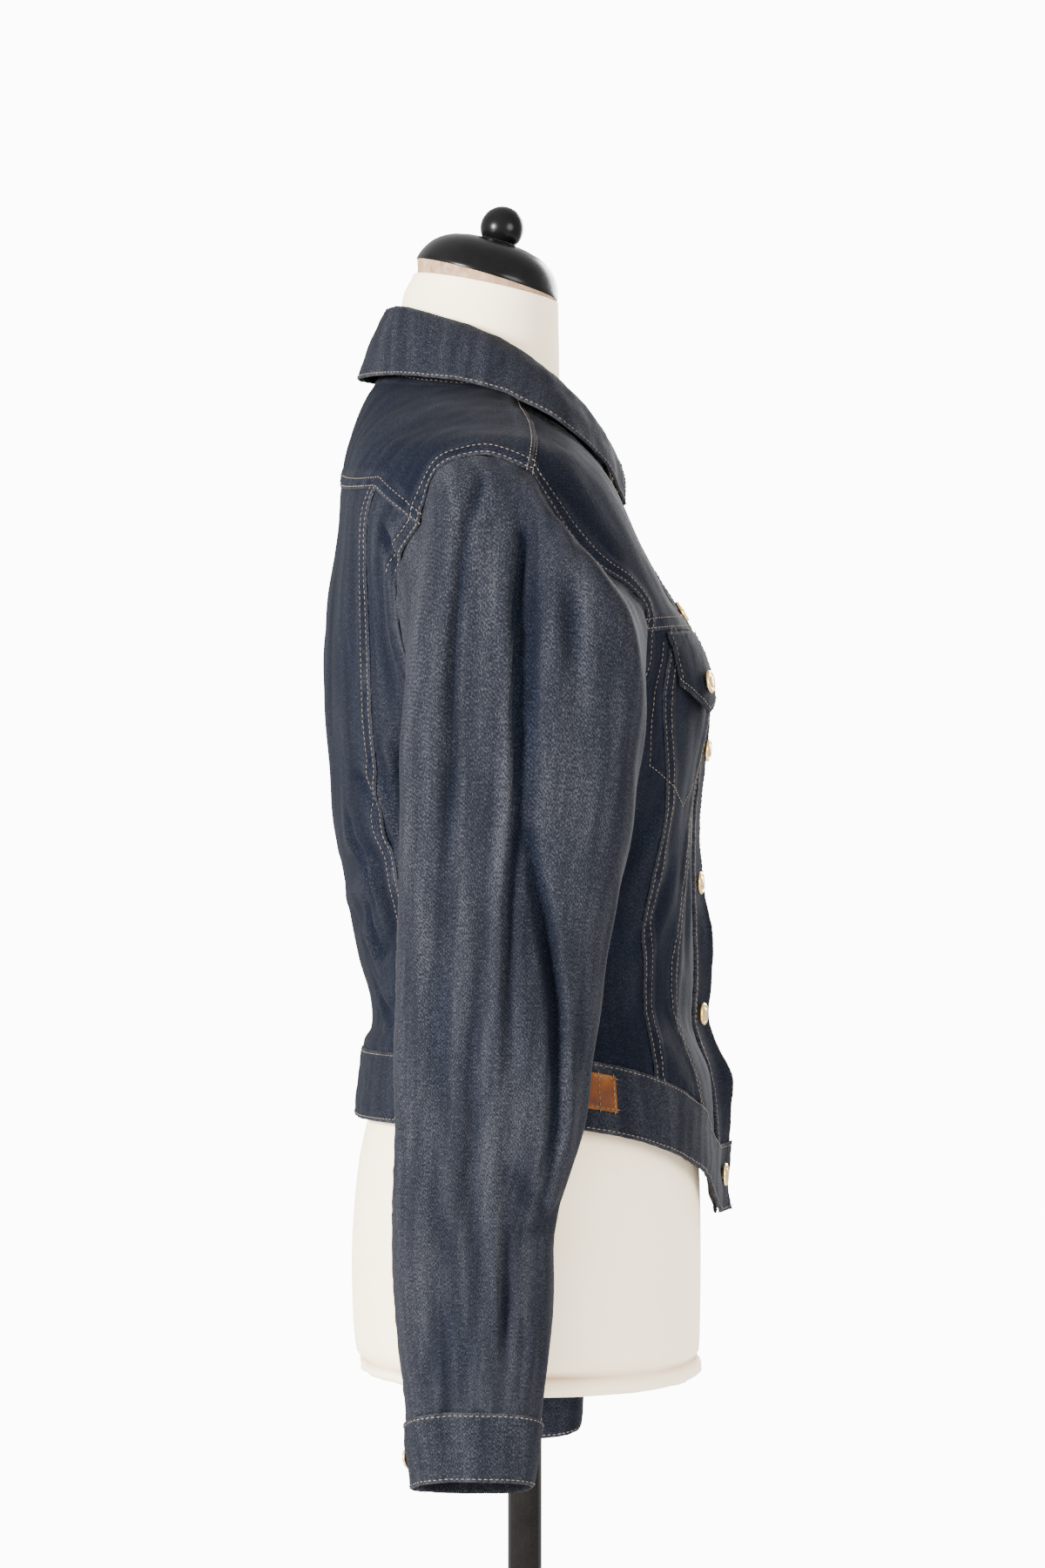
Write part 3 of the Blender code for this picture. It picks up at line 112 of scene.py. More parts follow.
def along(rows, place):
    """Rows at fractional places in a table, on a smooth curve through its rows."""
    rows, place = np.asarray(rows, dtype=float), np.asarray(place, dtype=float)
    last = len(rows) - 1
    index = np.clip(np.floor(place).astype(int), 0, last - 1)
    share = (place - index)[..., None]
    before, here = rows[np.maximum(index - 1, 0)], rows[index]
    there, after = rows[index + 1], rows[np.minimum(index + 2, last)]
    leave = np.where((index > 0)[..., None], (there - before) / 2, there - here)
    arrive = np.where((index + 2 <= last)[..., None], (after - here) / 2, there - here)
    square, cube = share ** 2, share ** 3
    return ((2 * cube - 3 * square + 1) * here + (cube - 2 * square + share) * leave
            + (3 * square - 2 * cube) * there + (cube - square) * arrive)


def ring_point(rings, angle, level, front_dip, back_dip):
    """Points of a body's surface. Angle 0 is the centre front, pi the centre back; below 0 or past pi
    is the wearer's right. The dips say how steeply a ring leaves the height of its sides."""
    angle, level = np.broadcast_arrays(np.asarray(angle, dtype=float), np.asarray(level, dtype=float))
    front_z, side_z, back_z, front_y, widest_y, back_y, half_width, square = np.moveaxis(
        along(rings, level), -1, 0)
    ahead = np.cos(angle)
    reach = np.where(ahead > 0.0, widest_y - front_y, back_y - widest_y)
    size = (np.abs(np.sin(angle)) / half_width) ** square + (np.abs(ahead) / reach) ** square
    radius = size ** (-1.0 / square)
    end_z = np.where(ahead > 0.0, front_z, back_z)
    dip = np.where(ahead > 0.0, front_dip, back_dip)
    return np.stack((radius * np.sin(angle), widest_y - radius * ahead,
                     side_z + (end_z - side_z) * np.abs(ahead) ** dip), axis=-1)


def plane_z(front, back, y):
    """The height at this depth on a sloping plane through two (y, z) places."""
    return front[1] + (back[1] - front[1]) * (y - front[0]) / (back[0] - front[0])


def form_point(angle, level, inset=1.0):
    """Points of the form's body, drawn in toward the neck's middle by the inset."""
    p = ring_point(FORM_RINGS, angle, level, DIP, DIP)
    share = blend(NECK_TOP - 0.5, NECK_TOP, level)
    p[..., 2] += (plane_z(NECK_FRONT, NECK_BACK, p[..., 1]) - p[..., 2]) * share
    middle = (NECK_FRONT[0] + NECK_BACK[0]) / 2
    p[..., 0] *= inset
    p[..., 1] = middle + (p[..., 1] - middle) * inset
    return p


def quads(rows, cols, closed=False):
    """The faces of a grid of points, rows upward and columns from the wearer's right to left."""
    i, j = np.meshgrid(np.arange(rows - 1), np.arange(cols if closed else cols - 1), indexing="ij")
    k = (j + 1) % cols
    faces = (i * cols + j, i * cols + k, (i + 1) * cols + k, (i + 1) * cols + j)
    return np.stack(faces, axis=-1).reshape(-1, 4)


def tube_mesh(name, rings):
    """A smooth tube through rings of points."""
    mesh = bpy.data.meshes.new(name)
    mesh.from_pydata(rings.reshape(-1, 3).tolist(), [], quads(*rings.shape[:2], closed=True).tolist())
    mesh.shade_smooth()
    return put(name, mesh)


FORM_TURNS, FORM_ROWS = 128, 190
turns = -math.pi + math.tau * np.arange(FORM_TURNS) / FORM_TURNS
points = form_point(turns[None, :], np.linspace(0.0, NECK_TOP, FORM_ROWS)[:, None])
# The cover is drawn up under the hips, in a soft roll that dips to the sides and puckers unevenly.
HEM_Z, HEM_WIDE, HEM_WAVE, HEM_ROLL, HEM_TUCK, TUCK_AT = 0.7785, 0.0045, 0.0012, 0.0016, 0.0030, 2.0
HEM_PUCKERS = ((17, 0.3, 0.0007), (29, 1.7, 0.0006), (43, 4.1, 0.0004))    # waves round it, their start, height
off = (points[..., 2] - (HEM_Z + HEM_WAVE * np.sin(5 * turns + 0.8)[None, :])) / HEM_WIDE
swell = HEM_ROLL * hill(off, 0.0, 1.0) - HEM_TUCK * hill(off, TUCK_AT, 0.7)
for count, start, height in HEM_PUCKERS:
    swell += height * np.sin(count * turns[None, :] + start) * hill(off, -0.3, 2.4)
outward = points * np.array((1.0, 1.0, 0.0))
outward /= np.linalg.norm(outward, axis=-1, keepdims=True)
points += outward * swell[..., None]

SHARP_FROM = math.radians(50)     # a steeper edge than this stays sharp


def close_ends(obj, around):
    """Close a tube of rings of this many points at both ends."""
    mesh = bmesh.new()
    mesh.from_mesh(obj.data)
    mesh.verts.ensure_lookup_table()
    last = len(mesh.verts) - around
    mesh.faces.new([mesh.verts[i] for i in reversed(range(around))])
    mesh.faces.new([mesh.verts[last + i] for i in range(around)])
    mesh.to_mesh(obj.data)
    mesh.free()
    obj.data.set_sharp_from_angle(angle=SHARP_FROM)


def store(mesh, name, values):
    """Keep a number for every point of a mesh."""
    mesh.attributes.new(name, "FLOAT", "POINT").data.foreach_set("value", values.astype(np.float32).ravel())


def new_material(name):
    """An empty material, its node tree and its shader."""
    made = bpy.data.materials.new(name)
    made.use_nodes = True
    return made, made.node_tree, made.node_tree.nodes["Principled BSDF"]


def give(socket, value):
    """Set an input to a number or a colour, or link it to another node's output."""
    if isinstance(value, bpy.types.NodeSocket):
        socket.id_data.links.new(value, socket)
    else:
        socket.default_value = value


def feed(node, **values):
    """Give a node its inputs by name; an underscore stands for a space."""
    for name, value in values.items():
        give(node.inputs[name.replace("_", " ")], value)
    return node


def add_node(tree, kind, **values):
    """A new node of this kind with these inputs."""
    return feed(tree.nodes.new(kind), **values)


def noise_node(tree, vector, scale, detail=2.0, stretch=None):
    """A noise pattern on these coordinates, stretched by a scale for each axis."""
    if stretch is not None:
        vector = add_node(tree, "ShaderNodeMapping", Vector=vector, Scale=stretch).outputs["Vector"]
    return add_node(tree, "ShaderNodeTexNoise", Vector=vector, Scale=scale, Detail=detail).outputs["Fac"]


def wave_node(tree, vector, direction, scale, distortion, detail=2.0):
    """Bands across this direction."""
    wave = add_node(tree, "ShaderNodeTexWave", Vector=vector, Scale=scale, Distortion=distortion, Detail=detail)
    wave.bands_direction = direction
    return wave.outputs["Fac"]


def ramp_node(tree, value, stops):
    """A colour for a value, from (position, colour) stops; a plain number stands for a gray."""
    ramp = add_node(tree, "ShaderNodeValToRGB", Fac=value)
    elements = ramp.color_ramp.elements
    while len(elements) < len(stops):
        elements.new(0.5)
    for element, (position, color) in zip(elements, stops):
        element.position = position
        element.color = (*(color if isinstance(color, tuple) else (color,) * 3), 1.0)
    return ramp.outputs["Color"]


def bump_node(tree, height, strength, distance, **normal):
    """A normal that follows this height, on top of another normal if one is given."""
    return add_node(tree, "ShaderNodeBump", Height=height, Strength=strength, Distance=distance,
                    **normal).outputs["Normal"]


def attribute_node(tree, name):
    """The number that a mesh keeps for its points under this name."""
    attribute = tree.nodes.new("ShaderNodeAttribute")
    attribute.attribute_name = name
    return attribute.outputs["Fac"]


def multiply_node(tree, share, color, by):
    """A colour multiplied by another one, for this share."""
    mix = tree.nodes.new("ShaderNodeMix")
    mix.data_type, mix.blend_type = "RGBA", "MULTIPLY"
    sockets = {socket.identifier: socket for socket in mix.inputs}
    for name, value in (("Factor_Float", share), ("A_Color", color), ("B_Color", (*by, 1.0))):
        give(sockets[name], value)
    return next(socket for socket in mix.outputs if socket.identifier == "Result_Color")


def place_node(tree):
    """Where a point is on its own piece, in metres."""
    return tree.nodes.new("ShaderNodeTexCoord").outputs["Object"]


def drifting(name, drift, colors, rough, bump=None, **values):
    """A material whose colour drifts from place to place. drift is the scale and detail of its noise, rough
    one number or stops for that noise, and bump the scale, strength and distance of the face's fine noise."""
    made, tree, shader = new_material(name)
    place = place_node(tree)
    noise = noise_node(tree, place, *drift)
    feed(shader, Base_Color=ramp_node(tree, noise, colors),
         Roughness=rough if isinstance(rough, float) else ramp_node(tree, noise, rough), **values)
    if bump:
        feed(shader, Normal=bump_node(tree, noise_node(tree, place, bump[0]), *bump[1:]))
    return made


jersey, tree, shader = new_material("cream_jersey")
place = place_node(tree)
cream = ramp_node(tree, noise_node(tree, place, 9.0, 3.0),
                  ((0.3, (0.935, 0.755, 0.515)), (0.7, (0.955, 0.805, 0.590))))
rib_bump = bump_node(tree, wave_node(tree, place, "Z", 420.0, 1.5), 0.10, 0.0003)
fluff_bump = bump_node(tree, noise_node(tree, place, 900.0), 0.15, 0.0003, Normal=rib_bump)
# Painted shade: the jersey is darkened to a warm brown along the hem's crease.
feed(shader, Base_Color=multiply_node(tree, attribute_node(tree, "tuck_shade"), cream, (0.42, 0.30, 0.19)),
     Normal=fluff_bump, Roughness=0.85, Specular_IOR_Level=0.10)

form_body = tube_mesh("form_body", points)
# Painted shade along the crease above the hem's roll.
store(form_body.data, "tuck_shade", hill(off, TUCK_AT, 0.55) * (0.75 + 0.25 * np.sin(3 * turns + 1.1))[None, :])
close_ends(form_body, FORM_TURNS)
form_body.data.materials.append(jersey)
keep(form_body, "form_torso")

# ---------------------------------------------------------------- dress form: the neck's edge, cap and knob
# The jersey ends in a tan felt edge on the neck. A turned wooden cap lies on it, tipped forward, with a
# ball knob on top, both in deep black lacquer.
GAP, RIM_ROWS, RIM_INSET, RIM_WAVE = 0.0003, 6, 0.985, 0.004
rim_ring = form_point(turns, np.full(FORM_TURNS, float(NECK_TOP)), RIM_INSET)
rim_low = plane_z(NECK_FRONT, NECK_BACK, rim_ring[:, 1]) + GAP
rim_high = plane_z(CAP_FRONT, CAP_BACK, rim_ring[:, 1]) - GAP
rows = []
for share in np.linspace(0.0, 1.0, RIM_ROWS):
    row = rim_ring.copy()
    row[:, 2] = rim_low + (rim_high - rim_low) * share
    row[:, :2] *= 1.0 + RIM_WAVE * np.sin(9 * turns + 5 * share)[:, None] * math.sin(math.pi * share)
    rows.append(row)
form_edge = tube_mesh("form_edge", np.array(rows))
close_ends(form_edge, FORM_TURNS)
form_edge.data.materials.append(drifting(
    "tan_felt", (160.0, 4.0), ((0.35, (0.20, 0.115, 0.062)), (0.65, (0.34, 0.22, 0.135))), 0.9,
    (700.0, 0.3, 0.0004)))
keep(form_edge, "form_rim")

cap_middle = Vector((0.0, (CAP_FRONT[0] + CAP_BACK[0]) / 2, (CAP_FRONT[1] + CAP_BACK[1]) / 2))
cap_axis = Vector((0.0, CAP_FRONT[1] - CAP_BACK[1], CAP_BACK[0] - CAP_FRONT[0])).normalized()


def turned(name, profile, steps, place, material):
    """A piece turned about an axis through place; the profile is (radius, height), from its top downward."""
    profile = np.array(profile)
    around = math.tau * np.arange(steps) / steps
    rings = np.stack((profile[::-1, None, 0] * np.cos(around), profile[::-1, None, 0] * np.sin(around),
                      np.repeat(profile[::-1, None, 1], steps, axis=1)), axis=-1)
    obj = tube_mesh(name, rings)
    mesh = bmesh.new()
    mesh.from_mesh(obj.data)
    bmesh.ops.remove_doubles(mesh, verts=mesh.verts, dist=1e-6)
    mesh.transform(place)
    mesh.to_mesh(obj.data)
    mesh.free()
    obj.data.set_sharp_from_angle(angle=SHARP_FROM)
    obj.data.materials.append(material)
    return obj


def upright(point, direction):
    """A placement whose own +Z axis points along direction at this point."""
    return Matrix.Translation(point) @ Vector(direction).to_track_quat("Z", "Y").to_matrix().to_4x4()


lacquer = drifting(
    "black_lacquer", (45.0, 3.0), ((0.3, (0.0020, 0.0018, 0.0020)), (0.7, (0.0045, 0.0041, 0.0041))),
    ((0.0, 0.22), (1.0, 0.34)), (220.0, 0.04, 0.0004), Specular_IOR_Level=0.10, Coat_Weight=0.03,
    Coat_Roughness=0.10)

CAP_PROFILE = ((0.0, 0.0260), (0.0115, 0.0260), (0.0165, 0.0257), (0.0220, 0.0249), (0.0300, 0.0228),
               (0.0345, 0.0208), (0.0385, 0.0182), (0.0415, 0.0155), (0.0440, 0.0125), (0.0460, 0.0092),
               (0.0475, 0.0060), (0.0485, 0.0030), (0.0490, 0.0008), (0.0488, 0.0), (0.0, 0.0))
cap_place = upright(cap_middle, cap_axis)
neck_cap = turned("cap", CAP_PROFILE, 96, cap_place, lacquer)
KNOB_HEIGHT, KNOB_RADIUS, KNOB_STEPS = 0.0357, 0.0145, 28
KNOB_CUT = 128.0                  # degrees from the ball's top to where it is cut flat
knob_profile = [(KNOB_RADIUS * math.sin(turn), KNOB_HEIGHT + KNOB_RADIUS * math.cos(turn))
                for turn in (math.radians(KNOB_CUT * i / KNOB_STEPS) for i in range(KNOB_STEPS + 1))]
knob_profile.append((0.0, knob_profile[-1][1]))
neck_knob = turned("knob", knob_profile, 64, cap_place, lacquer)
for piece, node in ((neck_cap, "neck_cap"), (neck_knob, "neck_knob")):
    keep(piece, node)

# ---------------------------------------------------------------- dress form: pole and base
# A steel tube screwed into a flat round plate, both sprayed gloss black, with the faint ripple that sprayed
# paint has.
paint = drifting(
    "black_paint", (30.0, 3.0), ((0.3, (0.004, 0.0036, 0.0034)), (0.7, (0.008, 0.007, 0.0064))), 0.10,
    (260.0, 0.05, 0.0003), Specular_IOR_Level=0.10, Coat_Weight=0.02, Coat_Roughness=0.08)
for node in ("form_pole", "form_base"):
    for material_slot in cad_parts[node].material_slots:
        material_slot.material = paint

# ---------------------------------------------------------------- the jacket's body: its surface
# A fitted shell of firm cotton denim, buttoned up, so that all its panels hang as one smooth body. Rings
# run level round it as on the form; the panels are cut out of it between their seams.
JACKET_RINGS = np.array((
    (0.895, 0.948, 0.947, -0.1275, -0.006, 0.1125, 0.168, 2.3),    # hem
    (0.940, 0.993, 0.992, -0.1265, -0.005, 0.1075, 0.163, 2.3),    # top of the waistband
    (0.972, 1.010, 1.006, -0.1230, -0.004, 0.1015, 0.156, 2.3),
    (1.004, 1.030, 1.026, -0.1120, -0.002, 0.1030, 0.149, 2.3),    # waist
    (1.040, 1.058, 1.054, -0.1125, 0.000, 0.1110, 0.147, 2.3),
    (1.088, 1.097, 1.097, -0.1110, 0.002, 0.1195, 0.151, 2.5),     # ribs
    (1.136, 1.140, 1.146, -0.1105, 0.004, 0.1275, 0.157, 2.7),
    (1.182, 1.184, 1.196, -0.1140, 0.006, 0.1300, 0.163, 2.7),
    (1.224, 1.226, 1.246, -0.1165, 0.008, 0.1330, 0.169, 2.6),     # bust
    (1.258, 1.266, 1.290, -0.1105, 0.012, 0.1295, 0.178, 2.8),
    (1.288, 1.306, 1.332, -0.0935, 0.019, 0.1240, 0.190, 2.8),
    (1.312, 1.345, 1.362, -0.0785, 0.024, 0.1215, 0.199, 2.6),     # outside the shoulders
    (1.331, 1.378, 1.386, -0.0670, 0.027, 0.1175, 0.186, 2.4),
    (1.348, 1.397, 1.406, -0.0595, 0.029, 0.1120, 0.146, 2.3),
    (1.363, 1.413, 1.424, -0.0565, 0.031, 0.1045, 0.103, 2.2),
    (1.376, 1.428, 1.440, -0.0540, 0.030, 0.0915, 0.063, 2.1),     # neckline
))
BAND_TOP, NECKLINE = 1, len(JACKET_RINGS) - 1
BUST_X, BUST_Z, BUST_RISE, BUST_WIDE, BUST_TALL = 0.068, 1.222, 0.006, 0.038, 0.046
DROOP, DROOP_X, DROOP_TOP = 0.014, 0.080, 2.6      # the front ends of the waistband hang lower
RIGHT, LEFT = -1.0, 1.0                            # sign of X on the wearer's right and left
BOTH = ((RIGHT, "r"), (LEFT, "l"))
FRONT_DIP, BACK_DIP = 1.9, 2.2                     # how steeply a ring leaves the height of its sides
HALVINGS = 28                                      # these leave a few nanometres


def unit(v):
    """Vectors of length 1."""
    return v / np.maximum(np.linalg.norm(v, axis=-1, keepdims=True), 1e-12)


def jacket_point(angle, level):
    """The jacket's outer surface. A negative angle, or one past pi, is the wearer's right, -X."""
    angle, level = np.broadcast_arrays(np.asarray(angle, dtype=float), np.asarray(level, dtype=float))
    angle = (angle + math.pi) % math.tau - math.pi
    p = ring_point(JACKET_RINGS, angle, level, FRONT_DIP, BACK_DIP)
    x, z = np.abs(p[..., 0]), p[..., 2].copy()
    front = np.abs(angle) < math.pi / 2
    bump = np.exp(-((x - BUST_X) / BUST_WIDE) ** 2 - ((z - BUST_Z) / BUST_TALL) ** 2)
    p[..., 1] -= np.where(front, BUST_RISE * bump, 0.0)
    hang = DROOP * (1.0 - blend(0.02, DROOP_X, x)) * (1.0 - blend(BAND_TOP, DROOP_TOP, level))
    p[..., 2] -= np.where(front, hang, 0.0)
    return p


def jacket_normal(angle, level, step=1e-3):
    """The jacket's outward direction at these places."""
    level = np.minimum(level, NECKLINE - 0.002)
    along_a = jacket_point(angle + step, level) - jacket_point(angle - step, level)
    along_b = jacket_point(angle, level + step) - jacket_point(angle, level - step)
    return unit(np.cross(along_a, along_b))


def ring_at(level):
    """A ring's measures by name, for one level or a whole grid of levels."""
    return dict(zip(RING, np.moveaxis(along(JACKET_RINGS, level), -1, 0)))


def reach_of(ring, in_front):
    """How far a ring reaches from its widest place to its front or to its back."""
    return ring["widest_y"] - ring["front_y"] if in_front else ring["back_y"] - ring["widest_y"]


def oval_share(part, square):
    """How far an oval reaches one way where it is this far out the other way, both as shares of its radii."""
    return (1.0 - np.minimum(part, 0.999) ** square) ** (1.0 / square)


def angle_by_x(x, level, front=True):
    """The angle of the ring's point with this breadth."""
    ring = ring_at(level)
    ahead = reach_of(ring, front) * oval_share(abs(x) / ring["half_width"], ring["square"])
    return math.copysign(math.atan2(abs(x), ahead if front else -ahead), x)


def angle_by_y(y, level):
    """The angle of the ring's point with this depth."""
    ring = ring_at(level)
    ahead = ring["widest_y"] - y
    part = abs(ahead) / reach_of(ring, ahead > 0.0)
    return math.atan2(ring["half_width"] * oval_share(part, ring["square"]), ahead)


def halve(low, is_below):
    """The level from low to the neckline where is_below stops being true, found by halving."""
    high = float(NECKLINE)
    for _ in range(HALVINGS):
        level = (low + high) / 2.0
        low, high = (level, high) if is_below(level) else (low, level)
    return level


def level_at(z, angle_of):
    """The level where the surface passes this height, at the angle that angle_of gives for a level."""
    return halve(0.0, lambda level: jacket_point(angle_of(level), level)[2] < z)


def place_by_x(x, z, front=True):
    """(angle, level) of the surface's point with this half-breadth and height, on the +X side."""
    level = level_at(z, lambda at: angle_by_x(x, at, front))
    return angle_by_x(x, level, front), level


def place_by_y(y, z):
    """(angle, level) of the surface's point with this depth and height, on the +X side."""
    level = level_at(z, lambda at: angle_by_y(y, at))
    return angle_by_y(y, level), level


def seam(places, count):
    """count + 1 places, evenly spread along a smooth line through the given places."""
    fine = along(np.array(places), np.linspace(0.0, len(places) - 1.0, 201))
    walk = np.concatenate(([0.0], np.cumsum(np.hypot(*(np.diff(fine, axis=0) * (2.4, 1.0)).T))))
    goal = np.linspace(0.0, walk[-1], count + 1)
    return np.stack((np.interp(goal, walk, fine[:, 0]), np.interp(goal, walk, fine[:, 1])), axis=-1)


def straight(start, end, count=60):
    """count + 1 places evenly spread between two."""
    return np.linspace(np.array(start, dtype=float), np.array(end, dtype=float), count + 1)


def joined(*lists):
    """Lists of places end to end, without the doubled ends."""
    return np.concatenate([lists[0]] + [places[1:] for places in lists[1:]])

# ---------------------------------------------------------------- the jacket's body: where its seams run
# Two V seams shape each front, a side seam and a back seam each side, and a yoke seam goes round under
# the shoulders. Places are (x, z) where they are seen from the front, and (y, z) from the side.
SIDE_ROWS, FRONT_HOLE_ROWS, BACK_HOLE_ROWS = 63, 42, 56
FRONT_ROWS, BACK_ROWS = SIDE_ROWS + FRONT_HOLE_ROWS, SIDE_ROWS + BACK_HOLE_ROWS
INNER_V_XZ = ((0.080, 0.962), (0.085, 1.000), (0.083, 1.045), (0.075, 1.080), (0.066, 1.115),
              (0.056, 1.150), (0.048, 1.200), (0.045, 1.268))
OUTER_V_YZ = ((-0.084, 0.975), (-0.080, 1.004), (-0.077, 1.043), (-0.076, 1.076), (-0.083, 1.110),
              (-0.090, 1.144), (-0.091, 1.170), (-0.088, 1.222), (-0.093, 1.266))
SIDE_SEAM_Y = 0.002
BACK_SEAM_YZ = ((0.079, 0.993), (0.074, 1.030), (0.078, 1.080), (0.083, 1.115), (0.092, 1.138),
                (0.096, 1.177), (0.099, 1.222), (0.101, 1.279), (0.101, 1.330), (0.095, 1.355))
YOKE_FRONT_Z, YOKE_BACK_Z = 1.270, 1.3626
ARMHOLE_YZ = (
    (0.002, 1.185), (-0.030, 1.192), (-0.058, 1.212), (-0.073, 1.240), (-0.0755, 1.264),
    (-0.0765, 1.280), (-0.065, 1.293), (-0.045, 1.305), (-0.028, 1.323), (-0.013, 1.347),
    (-0.003, 1.364), (0.026, 1.374), (0.054, 1.366), (0.064, 1.343), (0.0665, 1.330), (0.078, 1.312),
    (0.082, 1.292), (0.078, 1.255), (0.062, 1.219), (0.036, 1.193), (0.002, 1.185),
)
FRONT_YOKE_END, SHOULDER_END, BACK_YOKE_END = 4, 10, 14     # where seams meet the armhole
TOP_BAND_EDGE, PLACKET_HALF, UNDER_BAND_END = 0.0205, 0.020, 0.012

armhole = [place_by_y(y, z) for y, z in ARMHOLE_YZ]
hole_front = seam(armhole[:FRONT_YOKE_END + 1], FRONT_HOLE_ROWS)
hole_front_yoke = seam(armhole[FRONT_YOKE_END:SHOULDER_END + 1], 48)
hole_back_yoke = seam(armhole[SHOULDER_END:BACK_YOKE_END + 1], 36)
hole_back = seam(armhole[BACK_YOKE_END:], BACK_HOLE_ROWS)


def from_band(places, angle_of, place_of, count):
    """A seam that starts on the waistband's top edge and runs through these places."""
    return seam([(angle_of(places[0][0], BAND_TOP), BAND_TOP)] + [place_of(*at) for at in places[1:]], count)


inner_v = from_band(INNER_V_XZ, angle_by_x, place_by_x, FRONT_ROWS)
outer_v = from_band(OUTER_V_YZ, angle_by_y, place_by_y, FRONT_ROWS)
back_seam = from_band(BACK_SEAM_YZ, angle_by_y, place_by_y, BACK_ROWS)
side_seam = np.array([(angle_by_y(SIDE_SEAM_Y, level), level)
                      for level in np.linspace(BAND_TOP, hole_front[0][1], SIDE_ROWS + 1)])
shoulder_seam = seam([tuple(hole_front_yoke[-1])] + [(angle_by_y(y, level), level) for level, y in (
    (13, -0.005), (14, 0.001), (NECKLINE, 0.006))], 40)
neck_side = shoulder_seam[-1]
back_yoke_level = place_by_x(0.0, YOKE_BACK_Z, front=False)[1]


def front_edge(x):
    """The straight edge of a front: up to the yoke seam, and from there to the neckline."""
    yoke_level = place_by_x(x, YOKE_FRONT_Z)[1]
    return [np.array([(angle_by_x(x, at), at) for at in np.linspace(low, high, count)])
            for low, high, count in ((BAND_TOP, yoke_level, 41), (yoke_level, NECKLINE, 31))]


def border_at(border, shares):
    """Places at these shares of a border."""
    steps = np.linspace(0.0, 1.0, len(border))
    return np.stack([np.interp(shares, steps, border[:, k]) for k in (0, 1)], axis=-1)


def patch(left, right, bottom, top, ups, overs):
    """A grid of places inside four borders; rows run upward and columns from left to right."""
    left, right = border_at(left, ups)[:, None], border_at(right, ups)[:, None]
    bottom, top = border_at(bottom, overs)[None], border_at(top, overs)[None]
    up, over = ups[:, None, None], overs[None, :, None]
    return ((1 - up) * bottom + up * top + (1 - over) * left + over * right
            - (1 - up) * ((1 - over) * bottom[:, :1] + over * bottom[:, -1:])
            - up * ((1 - over) * top[:, :1] + over * top[:, -1:]))

# ---------------------------------------------------------------- the jacket's denim
# Right-hand twill: a charcoal blue warp over a paler weft, washed once. The warp runs up each piece. It
# is a little pale along folded edges, which is wear. Shade is painted into its colour: each piece is
# darkened toward a deep navy by its own amount, more in the troughs of its folds and less on their ridges.
DENIM_DARK, DENIM_MID, DENIM_LIGHT = (0.0019, 0.0024, 0.0042), (0.0094, 0.0102, 0.0140), (0.042, 0.042, 0.046)
PAINTED_SHADE_TINT = (0.20, 0.27, 0.44)                              # what the colour keeps where shade is painted in full
# How many flecks, slubs and streaks go into a metre, across and up.
FLECKS, SLUBS, STREAKS = (1300.0, 680.0, 1.0), (460.0, 34.0, 1.0), (75.0, 9.0, 1.0)


def math_node(tree, operation, a, b, clamp=False):
    """A sum, product or the like of two values; either may be a plain number."""
    made = tree.nodes.new("ShaderNodeMath")
    made.operation, made.use_clamp = operation, clamp
    for socket, value in zip(made.inputs, (a, b)):
        give(socket, value)
    return made.outputs["Value"]


def weighted(tree, parts, start):
    """The sum of patterns, each less its middle and times its weight."""
    total = start
    for value, weight in parts:
        centred = math_node(tree, "SUBTRACT", value, 0.5)
        total = math_node(tree, "ADD", math_node(tree, "MULTIPLY", centred, weight), total)
    return total


denim, tree, shader = new_material("washed_denim")
weave = tree.nodes.new("ShaderNodeUVMap")
weave.uv_map = "cloth"
weave = weave.outputs["UV"]
flecks, slubs, streaks = (noise_node(tree, weave, 1.0, detail, stretch)
                          for detail, stretch in ((1.0, FLECKS), (2.0, SLUBS), (3.0, STREAKS)))
grain = noise_node(tree, weave, 240.0, 3.0)
twill = wave_node(tree, weave, "DIAGONAL", 260.0, 2.0, 1.0)
paled = math_node(tree, "MULTIPLY", attribute_node(tree, "wear"), 0.13)
tone = weighted(tree, ((flecks, 1.15), (slubs, 0.24), (streaks, 0.60), (grain, 0.30), (twill, 0.10)), 0.5)
fresh = ramp_node(tree, math_node(tree, "ADD", tone, paled, True),
                  ((0.12, DENIM_DARK), (0.50, DENIM_MID), (0.92, DENIM_LIGHT)))
fleck_bump = bump_node(tree, flecks, 0.35, 0.0004)
# Painted shade: the colour is darkened toward a deep navy by the amount each point keeps.
feed(shader, Base_Color=multiply_node(tree, attribute_node(tree, "painted_shade"), fresh, PAINTED_SHADE_TINT),
     Normal=bump_node(tree, grain, 0.25, 0.0006, Normal=fleck_bump),
     Roughness=ramp_node(tree, slubs, ((0.3, 0.78), (0.7, 0.92))),
     Sheen_Weight=0.015, Sheen_Roughness=0.5, Specular_IOR_Level=0.05)

CLOTH, SEAM_GAP, LAYER, BAND_CLOTH, EDGE_CLOTH = 0.0013, 0.0003, 0.0024, 0.0022, 0.0019
EDGE_DROPS, INNER_DROP = (0.45, 0.10), 0.3        # how an edge is rounded, in shares of the cloth's thickness
WORN_SHADE_LOSS = 0.55                                   # the share of the painted shade that a worn edge loses


def walk_along(points, axis):
    """How far each point of a grid is from its first row or column, along the cloth."""
    steps = np.linalg.norm(np.diff(points, axis=axis), axis=-1)
    start = np.zeros_like(np.take(steps, [0], axis=axis))
    return np.concatenate((start, np.cumsum(steps, axis=axis)), axis=axis)


def grid_normals(points, closed=False):
    """Outward normals of a grid whose rows run upward and columns from right to left."""
    run = np.roll(points, -1, axis=1) - np.roll(points, 1, axis=1) if closed else np.gradient(points, axis=1)
    return unit(np.cross(run, np.gradient(points, axis=0)))


